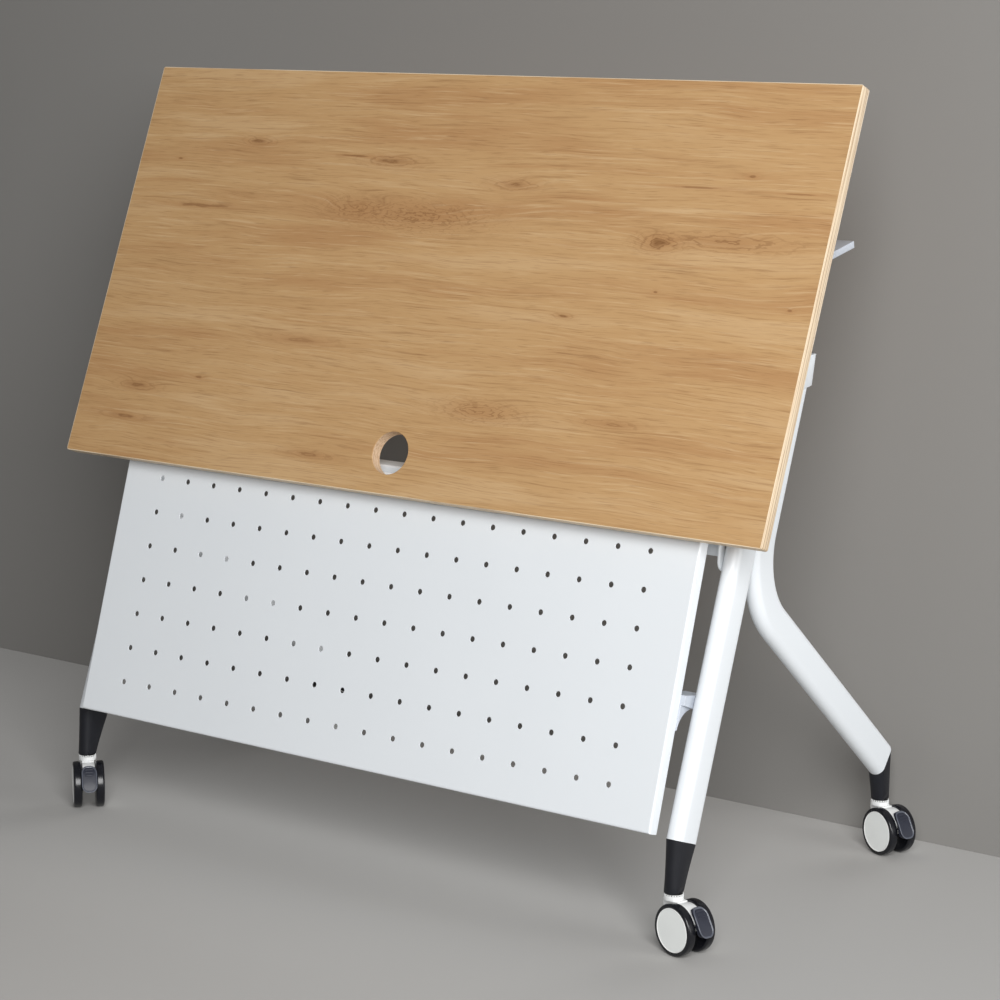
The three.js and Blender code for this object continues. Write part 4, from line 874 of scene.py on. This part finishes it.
TYRE_ROUND = 0.0030
RIM_STEP = 0.0005
COVER_GAP = 0.0003
COVER_ROUND = 0.0008
COVER_DISH = 0.0004
recess = WHEEL_HALF - DISC_RECESS
tread = np.concatenate([
    [(AXLE_BORE_R, -WHEEL_HALF), (WHEEL_R - 2 * TYRE_ROUND, -WHEEL_HALF)],
    arc((WHEEL_R - TYRE_ROUND, TYRE_ROUND - WHEEL_HALF), TYRE_ROUND, -90, 0, 7),
    arc((WHEEL_R - TYRE_ROUND, WHEEL_HALF - TYRE_ROUND), TYRE_ROUND, 0, 80, 7),
    [(DISC_R + 0.0009, WHEEL_HALF), (DISC_R + COVER_GAP, WHEEL_HALF - RIM_STEP),
     (DISC_R + COVER_GAP, recess), (AXLE_BORE_R, recess)],
])
cover = np.concatenate([
    [(0.0001, recess + COVER_GAP), (DISC_R - 0.0002, recess + COVER_GAP),
     (DISC_R, WHEEL_HALF - COVER_ROUND)],
    arc((DISC_R - COVER_ROUND, WHEEL_HALF - COVER_ROUND), COVER_ROUND, 0, 90, 4),
    [(DISC_R - 0.0012, WHEEL_HALF), (DISC_R - 0.0016, WHEEL_HALF - COVER_DISH),
     (DISC_R - 0.0019, WHEEL_HALF - COVER_DISH), (0.018, WHEEL_HALF - 0.0003),
     (0.0001, WHEEL_HALF - 0.0001)],
])
RIM_ROWS = range(1, 8)  # rows of the cover's profile that make its raised white rim
for corner in CORNERS:
    for half, out in (("a", 1), ("b", -1)):
        for stem, profile, paint, slot in (("tyre", tread, tyre_black, "tread"),
                                           ("cover", cover, cover_white, "white_plastic")):
            grid = turned(profile, WHEEL_SIDES) * [1, out, 1] + [TRAIL, out * WHEEL_Y, WHEEL_R]
            piece = skin(f"{stem}_{half}_{corner}", on_caster(grid, corner), round_rows=stem == "tyre",
                         ends=stem == "cover", crease=40)
            piece.data.materials.append(paint)
            if stem == "cover":
                piece.data.materials.append(rim_white)
                rim_faces = np.repeat(np.isin(np.arange(len(cover) - 1), RIM_ROWS), WHEEL_SIDES)
                rim_faces = np.append(rim_faces, [0, 0]).astype(np.int32)
                piece.data.polygons.foreach_set("material_index", rim_faces)
            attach(piece, f"wheel_{half}_{corner}")
            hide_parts(("wheel" if stem == "tyre" else "disc") + f"_{half}_{corner}")

# Caster forks, stems, axles and pedals. A white moulded fork on a plated stem, and a charcoal pedal
# that presses down on both wheels: the frame's own shapes with their edges broken.
pedal_black = textured("pedal_charcoal", (0.0190, 0.0215, 0.0335, 1), (0.0260, 0.0290, 0.0430, 1),
                       drift=70.0, fine=1400.0, rough=(0.36, 0.46), bump=0.25, Specular_IOR_Level=0.40)
for corner in CORNERS:
    for stem, width, paint in (("caster_fork", 0.0006, ivory), ("brake_pedal", 0.0003, pedal_black),
                               ("caster_axle", 0.0003, steel), ("caster_stem", 0.0003, steel)):
        node = break_edges(frame["nodes"][f"{stem}_{corner}"], width)
        node.data.materials.clear()
        node.data.materials.append(paint)

# Pedal treads. A moulded cap on each pedal plate, kicked out at its foot for the toe: a dished face
# with three raised grip ribs inside a raised, glossier rim whose lighter charcoal is a painted highlight.
PEDAL_OUTER = 0.0383
PEDAL_HALF = 0.0113
PEDAL_CORNER = 0.0088
PEDAL_LOW, PEDAL_HIGH = PEDAL_OUTER * np.sin(np.radians([-2.0, 57.4]))
PEDAL_FLARE = 0.0060
KICK_SHARE = 0.75
RIB_PLACES = (0.0211, 0.0249, 0.0282)
RIB_REACH, RIB_HALF, RIB_CORNER = 0.0060, 0.0010, 0.0007
# Rings of the cap from its hidden underside, over the rim and into the dish, and of a rib from inside
# the cap to its top: share of the outline, inset from it, and height above the plate
PEDAL_RINGS = [(share, 0.0006, -0.0022) for share in (0.03, 0.25, 0.5, 0.75, 1.0)]
PEDAL_RINGS += [(1, 0.0, -0.0018), (1, 0.0, 0.0002), (1, 0.0002, 0.0006), (1, 0.0005, 0.0009),
                (1, 0.0009, 0.0010), (1, 0.0013, 0.0009), (1, 0.0016, 0.0006), (1, 0.0019, 0.0002)]
PEDAL_RINGS += [(share, 0.0019, 0.0002) for share in np.linspace(0.94, 0.03, 12)]
# rows of the cap's rim, which carry the painted highlight
PEDAL_RIM_HIGHLIGHT = range(6, 12)
RIB_RINGS = [(1, 0.0, -0.0006), (1, 0.0, 0.0006), (1, 0.0001, 0.0009), (1, 0.0003, 0.0011),
             (1, 0.0005, 0.0012), (0.05, 0.0005, 0.0012)]
# Painted highlight: a lighter charcoal on the rim stands in for the light its edge catches
pedal_rim_highlight = textured("pedal_rim_highlight", (0.0760, 0.0840, 0.1080, 1), (0.0940, 0.1020, 0.1260, 1),
                     drift=70.0, fine=1400.0, rough=(0.24, 0.32), bump=0.10)


def on_pedal(half, low, high, corner, steps, rings):
    """Rings of a round-cornered outline bent round the wheels: a point so far across and up stands
    at angle arcsin(rise / outer) and reach outer + height + flare * kick^2 from the axle, where the
    kick falls from 1 at the pedal's foot to 0 three quarters of the way up."""
    outline, out = round_outline(half, (high - low) / 2, corner, steps)
    share, inset, height = np.array(rings, float).T[:, :, None]
    across = (outline[:, 0] - out[:, 0] * inset) * share
    rise = (outline[:, 1] - out[:, 1] * inset) * share + (high + low) / 2
    swing = np.arcsin(rise / PEDAL_OUTER)
    kick = np.clip(1 - (rise - PEDAL_LOW) / (KICK_SHARE * (PEDAL_HIGH - PEDAL_LOW)), 0, 1)
    reach = PEDAL_OUTER + height + PEDAL_FLARE * kick ** 2
    return np.stack([TRAIL + reach * np.cos(swing), across, WHEEL_R + reach * np.sin(swing)], -1)


cap_grid = on_pedal(PEDAL_HALF, PEDAL_LOW, PEDAL_HIGH, PEDAL_CORNER, 40, PEDAL_RINGS)
rib_grids = [on_pedal(RIB_REACH, place - RIB_HALF, place + RIB_HALF, RIB_CORNER, 6, RIB_RINGS)
             for place in RIB_PLACES]
rim_faces = np.repeat(np.isin(np.arange(len(PEDAL_RINGS) - 1), PEDAL_RIM_HIGHLIGHT), cap_grid.shape[1])
for corner in CORNERS:
    cap = skin(f"pedal_cap_{corner}", *[on_caster(grid, corner) for grid in (cap_grid, *rib_grids)],
               ends=True, crease=60)
    cap.data.materials.append(pedal_black)
    cap.data.materials.append(pedal_rim_highlight)
    face_finish = np.zeros(len(cap.data.polygons), np.int32)
    face_finish[:len(rim_faces)] = rim_faces
    cap.data.polygons.foreach_set("material_index", face_finish)
    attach(cap, f"brake_{corner}")

# Stem rings. A white moulded ring of small teeth pressed round each stem's flange under the foot.
# The bright flange shows through the gaps between the teeth.
RING_TEETH = 22
RING_OUT, RING_GAP, RING_IN = 0.0126, 0.0117, 0.0110
RING_LOW, RING_HIGH, RING_EASE = 0.0709, 0.0725, 0.0002
count = 4 * RING_TEETH
spin = 2 * np.pi * np.arange(count) / count
toothed = np.where(np.arange(count) % 4 < 2, RING_OUT, RING_GAP)
inner = np.full(count, RING_IN)
levels = [(inner, RING_LOW), (toothed - RING_EASE, RING_LOW), (toothed, RING_LOW + RING_EASE),
          (toothed, RING_HIGH - RING_EASE), (toothed - RING_EASE, RING_HIGH), (inner, RING_HIGH)]
ring_grid = np.array([np.column_stack([r * np.cos(spin), r * np.sin(spin), np.full(count, z)])
                      for r, z in levels])
for corner in CORNERS:
    ring = skin(f"stem_ring_{corner}", on_caster(ring_grid, corner), round_rows=True)
    ring.data.materials.append(ivory)
    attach(ring, "frame")
